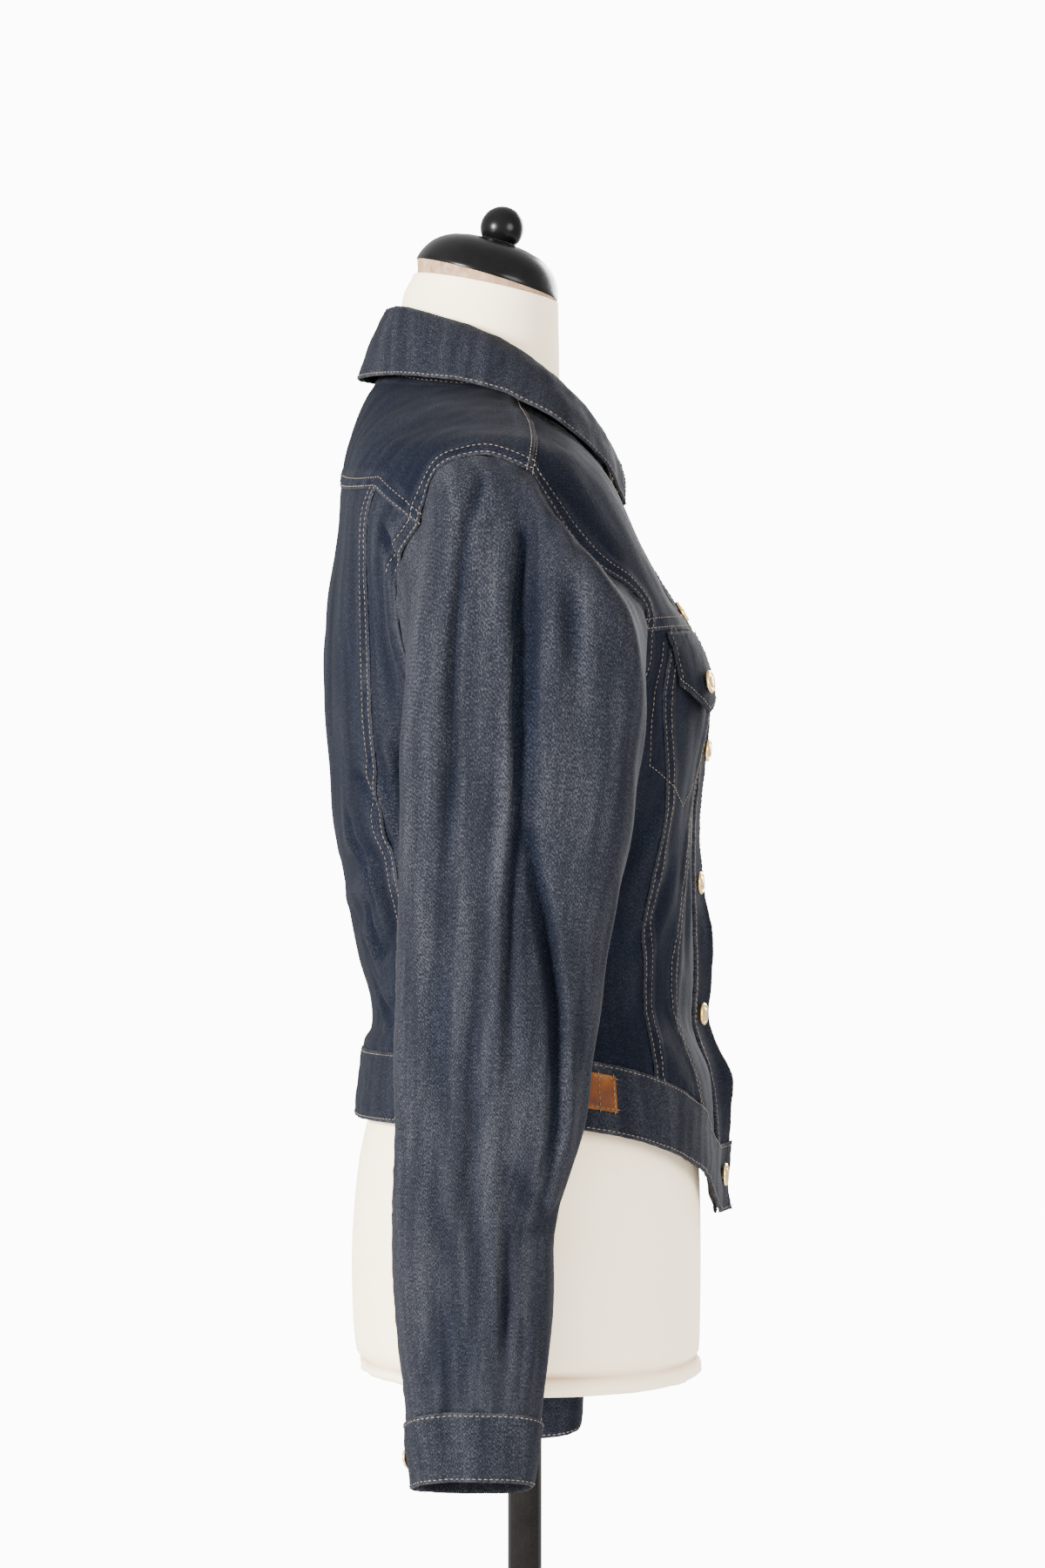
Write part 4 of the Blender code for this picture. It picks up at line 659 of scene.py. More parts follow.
def ripple(points, size, seed):
    """An uneven wave through space between -1 and 1, with bumps of about this size."""
    random = np.random.default_rng(seed)
    total = np.zeros(points.shape[:-1])
    for _ in range(7):
        direction = random.normal(size=3)
        direction *= math.tau / (size * 2.0) * random.uniform(0.6, 1.5) / np.linalg.norm(direction)
        total += np.sin(points @ direction + random.uniform(0.0, math.tau))
    return total / 3.2


def waves(points, height, size, seed, tall=1.0):
    """Uneven waves of this height and size; a tall below 1 draws them out up and down."""
    return height * ripple(points * (1.0, 1.0, tall), size, seed)


def press(points, creases):
    """How far creases push a grid of points outward. A crease is a line of points with the depth of its
    trough, less than 0 for a ridge, and its width; it is deepest in its middle and has soft shoulders."""
    flat = points.reshape(-1, 3)
    push = np.zeros(len(flat))
    for line, depth, width in creases:
        line = np.asarray(line, dtype=float)
        near = np.all((flat > line.min(axis=0) - 4 * width) & (flat < line.max(axis=0) + 4 * width), axis=1)
        if not near.any():
            continue
        some = flat[near]
        spans = np.linalg.norm(np.diff(line, axis=0), axis=1)
        walked = np.concatenate(([0.0], np.cumsum(spans)))
        nearest, share = np.full(len(some), 1e9), np.zeros(len(some))
        for a, b, span, before in zip(line, line[1:], spans, walked):
            t = np.clip((some - a) @ (b - a) / span ** 2, 0.0, 1.0)
            away = np.linalg.norm(some - a - t[:, None] * (b - a), axis=1)
            closer = away < nearest
            nearest[closer] = away[closer]
            share[closer] = (before + t[closer] * span) / walked[-1]
        q = nearest / width
        shape = hill(q, 0.0, 1.0) - 0.30 * hill(q, 1.8, 0.8)
        push[near] -= depth * shape * np.sin(math.pi * np.clip(share, 0.0, 1.0)) ** 0.6
    return push.reshape(points.shape[:-1])


def spacing(length, step, rim=0.0012):
    """Shares of a length, one step apart and closer at its two ends, where the cloth's edge is rounded."""
    rim /= length
    inside = np.linspace(0.0, 1.0, max(int(round(length / step)), 3) + 1)[1:-1]
    inside = inside[(inside > rim * 1.8) & (inside < 1 - rim * 1.8)]
    return np.concatenate(([0.0, rim * 0.5, rim * 1.2], inside, [1.0 - rim * 1.2, 1.0 - rim * 0.5, 1.0]))


def cloth_mesh(name, outer, thickness, wear, painted_shade=0.0):
    """A thin wall behind a grid of points, with rounded edges, its warp along its columns."""
    normals = grid_normals(outer)
    rows, cols = outer.shape[:2]
    drop = np.full((rows, cols), EDGE_DROPS[0])
    drop[1:-1, 1:-1] = EDGE_DROPS[1]
    drop[2:-2, 2:-2] = 0.0
    face = outer - normals * (drop * thickness)[..., None]
    inner = outer - normals * ((1.0 - INNER_DROP * drop) * thickness)[..., None]
    across, up = walk_along(outer, 1), walk_along(outer, 0)
    uv = np.stack((np.broadcast_to(across.mean(axis=0), across.shape),
                   np.broadcast_to(up.mean(axis=1, keepdims=True), up.shape)), axis=-1)
    half, front = rows * cols, quads(rows, cols)
    low, side = np.arange(cols - 1), np.arange(rows - 1) * cols
    high, far = low + (rows - 1) * cols, side + cols - 1
    rims = ((low, low + 1), (high + 1, high), (side + cols, side), (far, far + cols))
    faces = [front, half + front[:, ::-1]] + [np.stack((a, half + a, half + b, b), axis=-1) for a, b in rims]
    mesh = bpy.data.meshes.new(name)
    mesh.from_pydata(np.concatenate((face.reshape(-1, 3), inner.reshape(-1, 3))).tolist(), [],
                     np.concatenate(faces).tolist())
    corners = np.empty(len(mesh.loops), dtype=np.int32)
    mesh.loops.foreach_get("vertex_index", corners)
    both = np.concatenate((uv.reshape(-1, 2), uv.reshape(-1, 2)))
    mesh.uv_layers.new(name="cloth").data.foreach_set("uv", both[corners].astype(np.float32).ravel())
    # How much shade is painted at each point, less where the edge is worn.
    painted_shades = np.broadcast_to(painted_shade, (rows, cols)) * (1.0 - WORN_SHADE_LOSS * np.clip(wear, 0.0, 1.0))
    for kept, values in (("wear", wear), ("painted_shade", painted_shades)):
        store(mesh, kept, np.concatenate((values.ravel(), values.ravel())))
    mesh.shade_smooth()
    mesh.materials.append(denim)
    return put(name, mesh)


# A felled seam: the cloth of the "over" side is folded under and stands up by a layer for the width of
# the fell, and the "under" side is pressed down beside it. Every seam and edge puckers a little.
FELL_WIDE, FELL_RISE, UNDER_SINK = 0.0105, 0.0009, 0.0003
PUCKER, FELL_WAVE, EDGE_WAVE, UNDER_WAVE = 0.0045, 0.00032, 0.00025, 0.0003    # the puckers' size and heights
DENTS, DENT_WIDE, DENT_DEEP = (0.0022, 0.0085), 0.0009, 0.00022                # under a fell's rows of stitches
SIDES = ("left", "right", "bottom", "top")
sewn_rows = []                    # lines of stitches as (points, normals), filled by each section


def edge_walks(points):
    """How far each point of a grid is from each of its four borders."""
    over, up = walk_along(points, 1), walk_along(points, 0)
    return dict(left=over, right=over[:, -1:] - over, bottom=up, top=up[-1:] - up)


def seam_relief(points, walks, kinds, seed):
    """The rise of a panel's cloth along its seams, and its wear."""
    rise, wear = np.zeros(points.shape[:-1]), np.zeros(points.shape[:-1])
    for index, side in enumerate(SIDES):
        kind, away = kinds.get(side, "under"), walks[side]
        wave = ripple(points, PUCKER, seed + index)
        if kind == "over":
            fell = 1.0 - blend(FELL_WIDE - 0.001, FELL_WIDE + 0.0022, away)
            rise += FELL_RISE * fell + FELL_WAVE * wave * hill(away, 0.006, 0.008)
            rise -= DENT_DEEP * sum(hill(away, at, DENT_WIDE) for at in DENTS)
            worn = (hill(away, 0.0, 0.0022), 0.45 * hill(away, 0.0055, 0.0022) * (0.6 + 0.6 * wave),
                    0.5 * hill(away, FELL_WIDE, 0.0016))
        elif kind == "edge":
            rise += EDGE_WAVE * wave * hill(away, 0.0, 0.010)
            rise -= 0.0002 * hill(away, 0.0025, 0.001)
            worn = (hill(away, 0.0, 0.0020),)
        else:
            rise += -UNDER_SINK * (1.0 - blend(0.002, 0.006, away)) + UNDER_WAVE * wave * hill(away, 0.0, 0.009)
            worn = ()
        wear = np.maximum.reduce([wear, *worn])
    return rise, wear


def sew_beside(outer, side, distances):
    """Rows of stitches at these distances from one border of a grid of points."""
    grid, raised, away = outer, grid_normals(outer), edge_walks(outer)[side]
    if side in ("bottom", "top"):
        grid, raised, away = grid.transpose(1, 0, 2), raised.transpose(1, 0, 2), away.T
    if side in ("right", "top"):
        grid, raised, away = grid[:, ::-1], raised[:, ::-1], away[:, ::-1]
    for distance in distances:
        held = [at for at in zip(grid, raised, away) if at[2][-1] >= 2.2 * distance]
        if len(held) > 3:
            row, up = (np.array([[np.interp(distance, at[2], at[part][:, k]) for k in range(3)] for at in held])
                       for part in (0, 1))
            sewn_rows.append((row, unit(up)))


def sewn_piece(node, outer, wear, painted_shade, rows, thickness=CLOTH):
    """A piece of cloth over a grid of points, with its rows of stitches as (side, distances)."""
    piece = cloth_mesh(f"{node}_cloth", outer, thickness, wear, painted_shade)
    keep(piece, node)
    for at, distances in rows:
        sew_beside(outer, at, distances)


def mirrored(grid):
    """A grid of points or of places, moved from the wearer's left to the right."""
    return grid[:, ::-1] * np.where(np.arange(grid.shape[-1]) == 0, -1.0, 1.0)

# ---------------------------------------------------------------- the jacket's body: panels
# Twelve pieces of denim, felled together. The yokes lie over the panels under them, the middle fronts
# over both V seams and the back panel over its two side pieces; every armhole is folded to the body.
OVER, UNDER = "over", "under"
STEP = 0.0032                     # from one point of the cloth to the next
FELL_ROWS = (0.0021, 0.0084)      # two rows of stitches hold a fell


def on_body(degrees, z):
    """A point of the jacket's body at this angle from the centre front and this height."""
    angle = math.radians(degrees)
    return jacket_point(angle, level_at(z, lambda at: angle))


# Drag lines at the waist, under the bust and below the armholes: depth, width, and (angle, z) along each;
# less than 0 degrees is the wearer's right.
BODY_FOLDS = (
    (0.0030, 0.0080, (-96, 1.150), (-108, 1.118), (-122, 1.082), (-134, 1.060)),
    (0.0026, 0.0070, (-100, 1.105), (-114, 1.074), (-128, 1.048)),
    (-0.0020, 0.0090, (-112, 1.130), (-128, 1.104), (-142, 1.092)),
    (0.0028, 0.0075, (-128, 1.128), (-143, 1.112), (-158, 1.106), (-170, 1.110)),
    (0.0022, 0.0070, (-136, 1.092), (-150, 1.078), (-166, 1.074)),
    (0.0018, 0.0065, (-120, 1.036), (-134, 1.020), (-150, 1.014)),
    (0.0024, 0.0100, (-104, 1.230), (-112, 1.200), (-116, 1.160)),
    (-0.0016, 0.0110, (-158, 1.330), (-155, 1.260), (-156, 1.190), (-160, 1.130)),
    (0.0016, 0.0100, (-168, 1.320), (-166, 1.250), (-168, 1.180)),
    (0.0030, 0.0090, (-58, 1.215), (-68, 1.180), (-80, 1.150), (-90, 1.128)),
    (0.0024, 0.0080, (-50, 1.170), (-60, 1.130), (-70, 1.095)),
    (0.0022, 0.0070, (-44, 1.120), (-52, 1.085), (-62, 1.052)),
    (0.0020, 0.0070, (-26, 1.140), (-27, 1.090), (-30, 1.040)),
    (-0.0016, 0.0080, (-36, 1.075), (-40, 1.030), (-44, 0.990)),
    (0.0018, 0.0070, (-74, 1.060), (-84, 1.030), (-92, 1.005)),
    (0.0020, 0.0070, (-12, 1.325), (-18, 1.300), (-26, 1.285)),
    (0.0028, 0.0085, (94, 1.146), (106, 1.112), (120, 1.080), (131, 1.066)),
    (0.0024, 0.0070, (102, 1.100), (116, 1.068), (130, 1.044)),
    (-0.0018, 0.0090, (114, 1.134), (127, 1.108), (144, 1.094)),
    (0.0026, 0.0075, (130, 1.120), (146, 1.106), (160, 1.100), (171, 1.102)),
    (0.0020, 0.0065, (122, 1.030), (137, 1.016), (153, 1.012)),
    (0.0022, 0.0100, (103, 1.224), (111, 1.192), (114, 1.150)),
    (-0.0016, 0.0110, (156, 1.320), (154, 1.250), (156, 1.170), (161, 1.120)),
    (0.0018, 0.0100, (167, 1.310), (165, 1.240), (168, 1.170)),
    (0.0028, 0.0090, (56, 1.208), (67, 1.172), (79, 1.146), (88, 1.126)),
    (0.0022, 0.0080, (48, 1.162), (58, 1.124), (69, 1.090)),
    (0.0024, 0.0070, (43, 1.112), (51, 1.080), (60, 1.050)),
    (-0.0016, 0.0080, (35, 1.070), (39, 1.028), (43, 0.992)),
    (0.0018, 0.0070, (76, 1.056), (86, 1.028), (95, 1.006)),
    (0.0018, 0.0070, (12, 1.318), (19, 1.296), (27, 1.284)),
    (0.0016, 0.0090, (176, 1.300), (179, 1.230), (177, 1.160)),
)
BODY_CREASES = [([on_body(*at) for at in places], depth, width) for depth, width, *places in BODY_FOLDS]
BACK_FOLDS = (     # depth, width, (y, z) along it: from the yoke's corner, and where the back draws in
    (0.0042, 0.0042, (0.0934, 1.333), (0.0870, 1.318), (0.0811, 1.303), (0.0739, 1.283)),
    (-0.0024, 0.0045, (0.0860, 1.334), (0.0780, 1.314), (0.0700, 1.292)),
    (0.0042, 0.0042, (0.1112, 1.174), (0.1028, 1.169), (0.0956, 1.150), (0.0872, 1.131), (0.0850, 1.109)),
    (-0.0026, 0.0048, (0.1067, 1.180), (0.0978, 1.166), (0.0895, 1.149), (0.0830, 1.130)),
    (0.0038, 0.0044, (0.1150, 1.150), (0.1090, 1.126), (0.1000, 1.106), (0.0978, 1.085)),
    (-0.0032, 0.0052, (0.1090, 1.123), (0.0970, 1.111), (0.0930, 1.094), (0.0890, 1.075)),
    (0.0040, 0.0040, (0.1040, 1.097), (0.0995, 1.075), (0.0934, 1.056), (0.0834, 1.066)),
    (-0.0028, 0.0044, (0.1067, 1.075), (0.0978, 1.056), (0.0930, 1.040)),
    (-0.0030, 0.0040, (0.0839, 1.200), (0.0880, 1.190), (0.0823, 1.172)),
    (0.0040, 0.0036, (0.0778, 1.186), (0.0800, 1.169), (0.0768, 1.148)),
    (0.0026, 0.0040, (0.1000, 1.040), (0.0920, 1.020), (0.0840, 1.006)),
)
BOTH_SIDES = ((RIGHT, 0.0, 0.0, 1.0), (LEFT, -0.003, -0.010, 0.85))    # side, shifts of y and z, share of depth
for depth, width, *places in BACK_FOLDS:
    for side, back, up, share in BOTH_SIDES:
        spots = [place_by_y(y + back, z + up) for y, z in places]
        BODY_CREASES.append(([jacket_point(*spot) * (side, 1.0, 1.0) for spot in spots], depth * share, width))


def body_relief(points, seed):
    """The soft unevenness of cloth that hangs: broad waves, and small ones that run up and down."""
    return waves(points, 0.0007, 0.035, seed) + waves(points, 0.00045, 0.012, seed + 1, 0.35)


def rise_kinds(kinds, walks, points, seed):
    """The relief of seams whose kind may change part of the way along a border."""
    split = {side: kind for side, kind in kinds.items() if isinstance(kind, tuple)}
    plain = {side: kind if isinstance(kind, str) else kind[0] for side, kind in kinds.items()}
    rise, wear = seam_relief(points, walks, plain, seed)
    for side, (_, high, row) in split.items():
        rise2, wear2 = seam_relief(points, walks, {**plain, side: high}, seed)
        share = blend(row - 4, row + 1, np.arange(points.shape[0]))[:, None]
        rise, wear = rise + (rise2 - rise) * share, wear + (wear2 - wear) * share
    return rise, wear


# Shade is painted darker into a fold's trough and lighter onto its ridge: how much, and at what depth or height
# in full.
TROUGH_MORE, TROUGH_FULL, RIDGE_LESS, RIDGE_FULL, FOLD_OVER = 0.50, 0.0026, 0.20, 0.0020, 0.0008
BODY_SEED = 5
panels = {}


def folded_over(outer, at):
    """Draw one border of a grid of points out by the fold of its felled edge."""
    first, second = dict(left=((slice(None), 0), (slice(None), 1)), bottom=((0,), (1,)), top=((-1,), (-2,)),
                         right=((slice(None), -1), (slice(None), -2)))[at]
    outer[first] += unit(outer[first] - outer[second]) * FOLD_OVER


def body_piece(node, places, kinds, seed, painted_shade, side=LEFT, top_row=()):
    """Cut one panel out of the body's surface, with its seams, folds and rows of stitches."""
    sewn = [(at, FELL_ROWS) for at in kinds if at != "top"] + ([("top", top_row)] if top_row else [])
    if side == RIGHT:
        places = mirrored(places)
        swap = dict(left="right", right="left")
        kinds = {swap.get(at, at): kind for at, kind in kinds.items()}
        sewn = [(swap.get(at, at), rows) for at, rows in sewn]
    points = jacket_point(places[..., 0], places[..., 1])
    normals = jacket_normal(places[..., 0], places[..., 1])
    walks = edge_walks(points)
    rise, wear = rise_kinds(kinds, walks, points, seed)
    push = press(points, BODY_CREASES) + body_relief(points, BODY_SEED)
    calm = np.minimum.reduce([blend(0.0, 0.010, walks[at]) * 0.5 + 0.5 for at in SIDES])
    outer = points + normals * (rise + push * calm)[..., None]
    for at in kinds:
        folded_over(outer, at)
    # Painted shade: the piece's own amount, darker in the troughs of the folds and lighter on their ridges.
    painted_shade = (painted_shade + TROUGH_MORE * np.clip(-push / TROUGH_FULL, 0.0, 1.0)
           - RIDGE_LESS * np.clip(push / RIDGE_FULL, 0.0, 1.0))
    sewn_piece(node, outer, wear, np.clip(painted_shade, 0.0, 1.0), sewn)
    panels[node] = outer


def sew_uncovered(rows_before, low, high):
    """Take the stretch between two heights, where a fold of the cloth covers it, out of the newest rows."""
    sewn_rows[rows_before:] = [
        (points[part], ups[part]) for points, ups in sewn_rows[rows_before:]
        for part in (points[:, 2] < low, points[:, 2] > high) if part.sum() > 3]


COVERED_LOW, COVERED_HIGH = 1.205, 1.300    # where a fold lies over the back armhole's stitches
HOLE_STARTS = 62                            # the row of the back's side piece where its armhole starts
band_back = straight(back_seam[0], (math.pi, BAND_TOP))
yoke_back = straight(back_seam[-1], (math.pi, back_yoke_level))
back_side_low, front_yoke_end = straight(side_seam[0], back_seam[0]), hole_front[-1]
hole_side, back_side = joined(side_seam, hole_front), joined(side_seam, hole_back[::-1])
back_yoke_seam = straight(hole_back_yoke[-1], back_seam[-1], 24)
# The number after each piece's seed is how much shade is painted into its colour.
for side, tag, edge_x, seed in ((RIGHT, "r", TOP_BAND_EDGE + SEAM_GAP, 100), (LEFT, "l", PLACKET_HALF, 300)):
    lower_edge, upper_edge = front_edge(edge_x)
    front_low, mid_low = straight(lower_edge[0], inner_v[0]), straight(inner_v[0], outer_v[0])
    side_low = straight(outer_v[0], side_seam[0])
    front_seam, mid_seam = straight(lower_edge[-1], inner_v[-1], 20), straight(inner_v[-1], outer_v[-1], 25)
    side_yoke_seam = straight(outer_v[-1], front_yoke_end, 15)
    ups, overs = spacing(0.315, STEP), spacing(0.09, STEP)
    body_piece(f"front_{tag}", patch(lower_edge, inner_v, front_low, front_seam, ups, spacing(0.05, STEP)),
               {}, seed, 0.75, side)
    body_piece(f"front_mid_{tag}", patch(inner_v, outer_v, mid_low, mid_seam, ups, overs),
               {"left": OVER, "right": OVER}, seed + 10, 1.0, side)
    body_piece(f"front_side_{tag}", patch(outer_v, hole_side, side_low, side_yoke_seam, ups, overs),
               {"right": OVER}, seed + 20, 0.90, side)
    rows_before = len(sewn_rows)
    body_piece(f"back_side_{tag}",
               patch(back_side, back_seam, back_side_low, back_yoke_seam, spacing(0.365, STEP), overs),
               {"left": (UNDER, OVER, HOLE_STARTS)}, seed + 30, 0.60, side)
    sew_uncovered(rows_before, COVERED_LOW, COVERED_HIGH)
    neck_front = np.array([(angle, NECKLINE) for angle in np.linspace(upper_edge[-1][0], neck_side[0], 40)])
    body_piece(f"front_yoke_{tag}",
               patch(upper_edge, hole_front_yoke, joined(front_seam, mid_seam, side_yoke_seam),
                     joined(neck_front, shoulder_seam[::-1]), spacing(0.125, STEP), spacing(0.17, STEP)),
               {"right": OVER, "bottom": OVER}, seed + 40, 0.88, side, (0.0030,))


def turned_back(places):
    """The same seam on the wearer's right, at angles past the centre back."""
    other = places.copy()
    other[:, 0] = math.tau - other[:, 0]
    return other


def across_back(places):
    """Places from the wearer's left to the centre back, carried on to the wearer's right."""
    return joined(places, turned_back(places[::-1]))


# The back panel and the back yoke are given painted shade too, the yoke the most.
body_piece("back_panel",
           patch(back_seam, turned_back(back_seam), across_back(band_back), across_back(yoke_back),
                 spacing(0.375, STEP), spacing(0.22, STEP)),
           {"left": OVER, "right": OVER}, 500, 0.85)
neck_back = straight(neck_side, (math.pi, NECKLINE))
back_up = hole_back_yoke[::-1]
body_piece("back_yoke",
           patch(back_up, turned_back(back_up), across_back(joined(back_yoke_seam, yoke_back)),
                 across_back(joined(shoulder_seam, neck_back)), spacing(0.10, STEP), spacing(0.42, STEP)),
           dict.fromkeys(("left", "right", "bottom", "top"), OVER), 520, 1.0,
           top_row=(0.0030,))

# ---------------------------------------------------------------- button bands
# Two straight strips of doubled denim close the fronts. The wearer's right one lies on top, is stitched
# along both edges, and its free edge curls forward between the buttons.
CURL = np.array((
    (0.870, 0.009), (0.881, 0.009), (0.899, 0.0055), (0.922, 0.009), (0.946, 0.0115), (0.969, 0.0155),
    (0.990, 0.0115), (1.012, 0.0105), (1.030, 0.0115), (1.062, 0.0130), (1.100, 0.0075),
    (1.131, 0.0050), (1.190, 0.0050), (1.310, 0.0040), (1.345, 0.0015), (1.380, 0.0005)))
CURL_FROM, CURL_TO = -0.006, 0.018       # across the band, from beside the buttons to the free edge


def curl_at(x, z):
    """How far the free front edge stands forward at this place across the band."""
    row = np.clip(np.searchsorted(CURL[:, 0], z) - 1, 0, len(CURL) - 2)
    most = CURL[row, 1] + (CURL[row + 1, 1] - CURL[row, 1]) * blend(CURL[row, 0], CURL[row + 1, 0], z)
    return most * np.clip((x - CURL_FROM) / (CURL_TO - CURL_FROM), 0.0, 1.0) ** 1.5


def top_layer(angle, level, lift):
    """A point on the layer over the jacket's surface, with the curl of the free front edge."""
    p = jacket_point(angle, level)
    curl = curl_at(p[..., 0], p[..., 2])
    p = p + jacket_normal(angle, level) * lift
    p[..., 1] -= curl
    return p


def front_angles(x, level):
    """The angles of the places this far from the centre front, for whole grids of levels."""
    ring = ring_at(level)
    ahead = reach_of(ring, True) * oval_share(np.abs(x) / ring["half_width"], ring["square"])
    return np.copysign(np.arctan2(np.abs(x), ahead), x)


def edged_piece(node, points, seed, painted_shade, rows, thickness=EDGE_CLOTH,
                wave=0.0002):
    """A strip or shape of doubled denim with worn edges over a grid of points; rows are (side, distances)."""
    rise, wear = seam_relief(points, edge_walks(points), dict.fromkeys(SIDES, "edge"), seed)
    outer = points + grid_normals(points) * (rise + waves(points, wave, 0.010, seed + 9))[..., None]
    sewn_piece(node, outer, wear, painted_shade, rows, thickness)


EDGE_ROW, INNER_ROW = 0.0022, 0.0085      # an edge is stitched this far in, and the top band once more
INTO_BAND = 0.08                          # the share of a ring by which the top band goes into the waistband
for node, low_x, high_x, lift, low_level, flat, seed, thickness, rows in (
        ("placket_l", -UNDER_BAND_END, PLACKET_HALF, None, BAND_TOP, (0.033, 0.470), 610, EDGE_CLOTH,
         (("right", (EDGE_ROW,)),)),
        ("placket_r", -TOP_BAND_EDGE, CURL_TO, LAYER, BAND_TOP - INTO_BAND, (0.043, 0.478), 620, 0.0028,
         (("left", (EDGE_ROW, INNER_ROW)), ("right", (EDGE_ROW,))))):
    ups, overs = spacing(0.44, 0.0030), spacing(high_x - low_x, 0.0024)
    level = np.repeat((low_level + (NECKLINE - low_level) * ups)[:, None], len(overs), axis=1)
    angle = front_angles((low_x + (high_x - low_x) * overs)[None, :] + 0 * level, level)
    points = jacket_point(angle, level) if lift is None else top_layer(angle, level, lift)
    # Both bands get painted shade, 0.80 of the full amount.
    edged_piece(node, points, seed, 0.80, rows, thickness)

# ---------------------------------------------------------------- waistband
# One straight band of doubled denim round the hem, stitched near both edges. It starts under the top
# button band, goes round, and ends on top of its own start.
RISE_FROM, RISE_TO = -0.050, -0.020      # where the top end climbs over the under end, across the front
OVER_FROM, OVER_GAP, WAIST_LIFT = 1.7 * math.pi, 0.0006, 0.0006


def waistband_point(turn, up, depth):
    """A point of the waistband: turn is the angle from the centre front, up to a full turn and more."""
    level = BAND_TOP * up
    p, n = jacket_point(turn, level), jacket_normal(turn, np.maximum(level, 0.05))
    climb = blend(RISE_FROM, RISE_TO, np.where(turn > OVER_FROM, p[..., 0], RISE_FROM))
    over = (BAND_CLOTH + OVER_GAP) * np.where(turn < math.pi, 0.0, climb)
    raised = p + n * (over - depth)[..., None]
    raised[..., 1] -= np.where(turn > OVER_FROM, curl_at(p[..., 0], p[..., 2]), 0.0)
    return raised


def evenly(curve_of, start, end, step, rim=0.0012):
    """Values from start to end that are one step apart along a line of points."""
    fine = np.linspace(start, end, 2000)
    walk = np.concatenate(([0.0], np.cumsum(np.linalg.norm(np.diff(curve_of(fine), axis=0), axis=1))))
    return np.interp(spacing(walk[-1], step, rim) * walk[-1], walk, fine)


band_turns = evenly(lambda t: waistband_point(t, np.full(t.shape, 0.5), np.zeros(t.shape)),
                    angle_by_x(-UNDER_BAND_END, BAND_TOP), math.tau + angle_by_x(CURL_TO, BAND_TOP), 0.0030)
band_turn, band_up = np.broadcast_arrays(band_turns[None, :], spacing(0.045, 0.0030)[:, None])
points = waistband_point(band_turn, band_up, np.full(band_turn.shape, -WAIST_LIFT))
# Painted shade: the waistband is darker toward the centre back.
edged_piece("waistband", points, 640, 0.25 + 0.65 * hill(band_turn, math.pi, 1.3),
            [(at, (EDGE_ROW,)) for at in ("top", "bottom", "right")], wave=0.0006)

# ---------------------------------------------------------------- pocket flaps
# A pointed flap of doubled denim hangs from the yoke seam over each chest pocket, stitched round its edge.
FLAP_TOP_IN, FLAP_TOP_OUT = (0.047, 1.2645), (0.129, 1.2630)
FLAP_LOW_IN, FLAP_POINT, FLAP_LOW_OUT = (0.050, 1.2240), (0.081, 1.2120), (0.1175, 1.2300)
FLAP_LIFT, FLAP_STANDS = BAND_CLOTH + 0.0008, 0.0040      # over the cloth at its top, and more toward its point
FLAP_STANDS_FROM, FLAP_TALL, FLAP_ROW = 1.2600, 0.045, 0.0040


def flap_point(angle, level):
    """A point of the flap's outer face, which stands away from the pocket toward its point."""
    p = jacket_point(angle, level)
    lift = FLAP_LIFT + FLAP_STANDS * np.clip((FLAP_STANDS_FROM - p[..., 2:]) / FLAP_TALL, 0.0, 1.0)
    return p + jacket_normal(angle, level) * lift


def between(start, end, count=12):
    """Places along a straight line between two (x, z) ends, as the front shows it."""
    return np.array([place_by_x(*xz) for xz in straight(start, end, count)])


flap_places = patch(between(FLAP_LOW_IN, FLAP_TOP_IN), between(FLAP_LOW_OUT, FLAP_TOP_OUT),
                    joined(between(FLAP_LOW_IN, FLAP_POINT), between(FLAP_POINT, FLAP_LOW_OUT)),
                    between(FLAP_TOP_IN, FLAP_TOP_OUT, 24), spacing(0.045, 0.0022), spacing(0.080, 0.0022))
for side, tag in BOTH:
    places = flap_places if side == LEFT else mirrored(flap_places)
    points = flap_point(places[..., 0], places[..., 1])
    # The flaps get nearly the full painted shade.
    edged_piece(f"pocket_flap_{tag}", points, 660 + int(side), 0.95,
                [(at, (FLAP_ROW,)) for at in ("left", "right", "bottom")])

# A row of stitches holds the pocket's bag behind the front: down beside the flap, to a point, up again.
BAG_OUT_YZ = ((-0.0885, 1.2560), (-0.0822, 1.2230), (-0.0800, 1.1950), (-0.0800, 1.1780))
BAG_ROW = [(float(jacket_point(*place_by_y(y, z))[0]), z) for y, z in BAG_OUT_YZ]
BAG_ROW += [(0.088, 1.1518), (0.056, 1.1720), (0.053, 1.2150)]
bag_places = joined(*(between(a, b, 24) for a, b in zip(BAG_ROW, BAG_ROW[1:])))
for side, tag in BOTH:
    row = jacket_point(bag_places[:, 0], bag_places[:, 1]) * (side, 1.0, 1.0)
    cloths = [panels[f"{name}_{tag}"] for name in ("front_side", "front_mid")]
    cloth = np.concatenate([points.reshape(-1, 3) for points in cloths])
    raised = np.concatenate([grid_normals(points).reshape(-1, 3) for points in cloths])
    near = np.argsort(np.linalg.norm(cloth[None] - row[:, None], axis=-1), axis=1)[:, :5]
    up = unit(raised[near].mean(axis=1))
    sewn_rows.append((row + up * np.sum((cloth[near].mean(axis=1) - row) * up, axis=-1, keepdims=True), up))

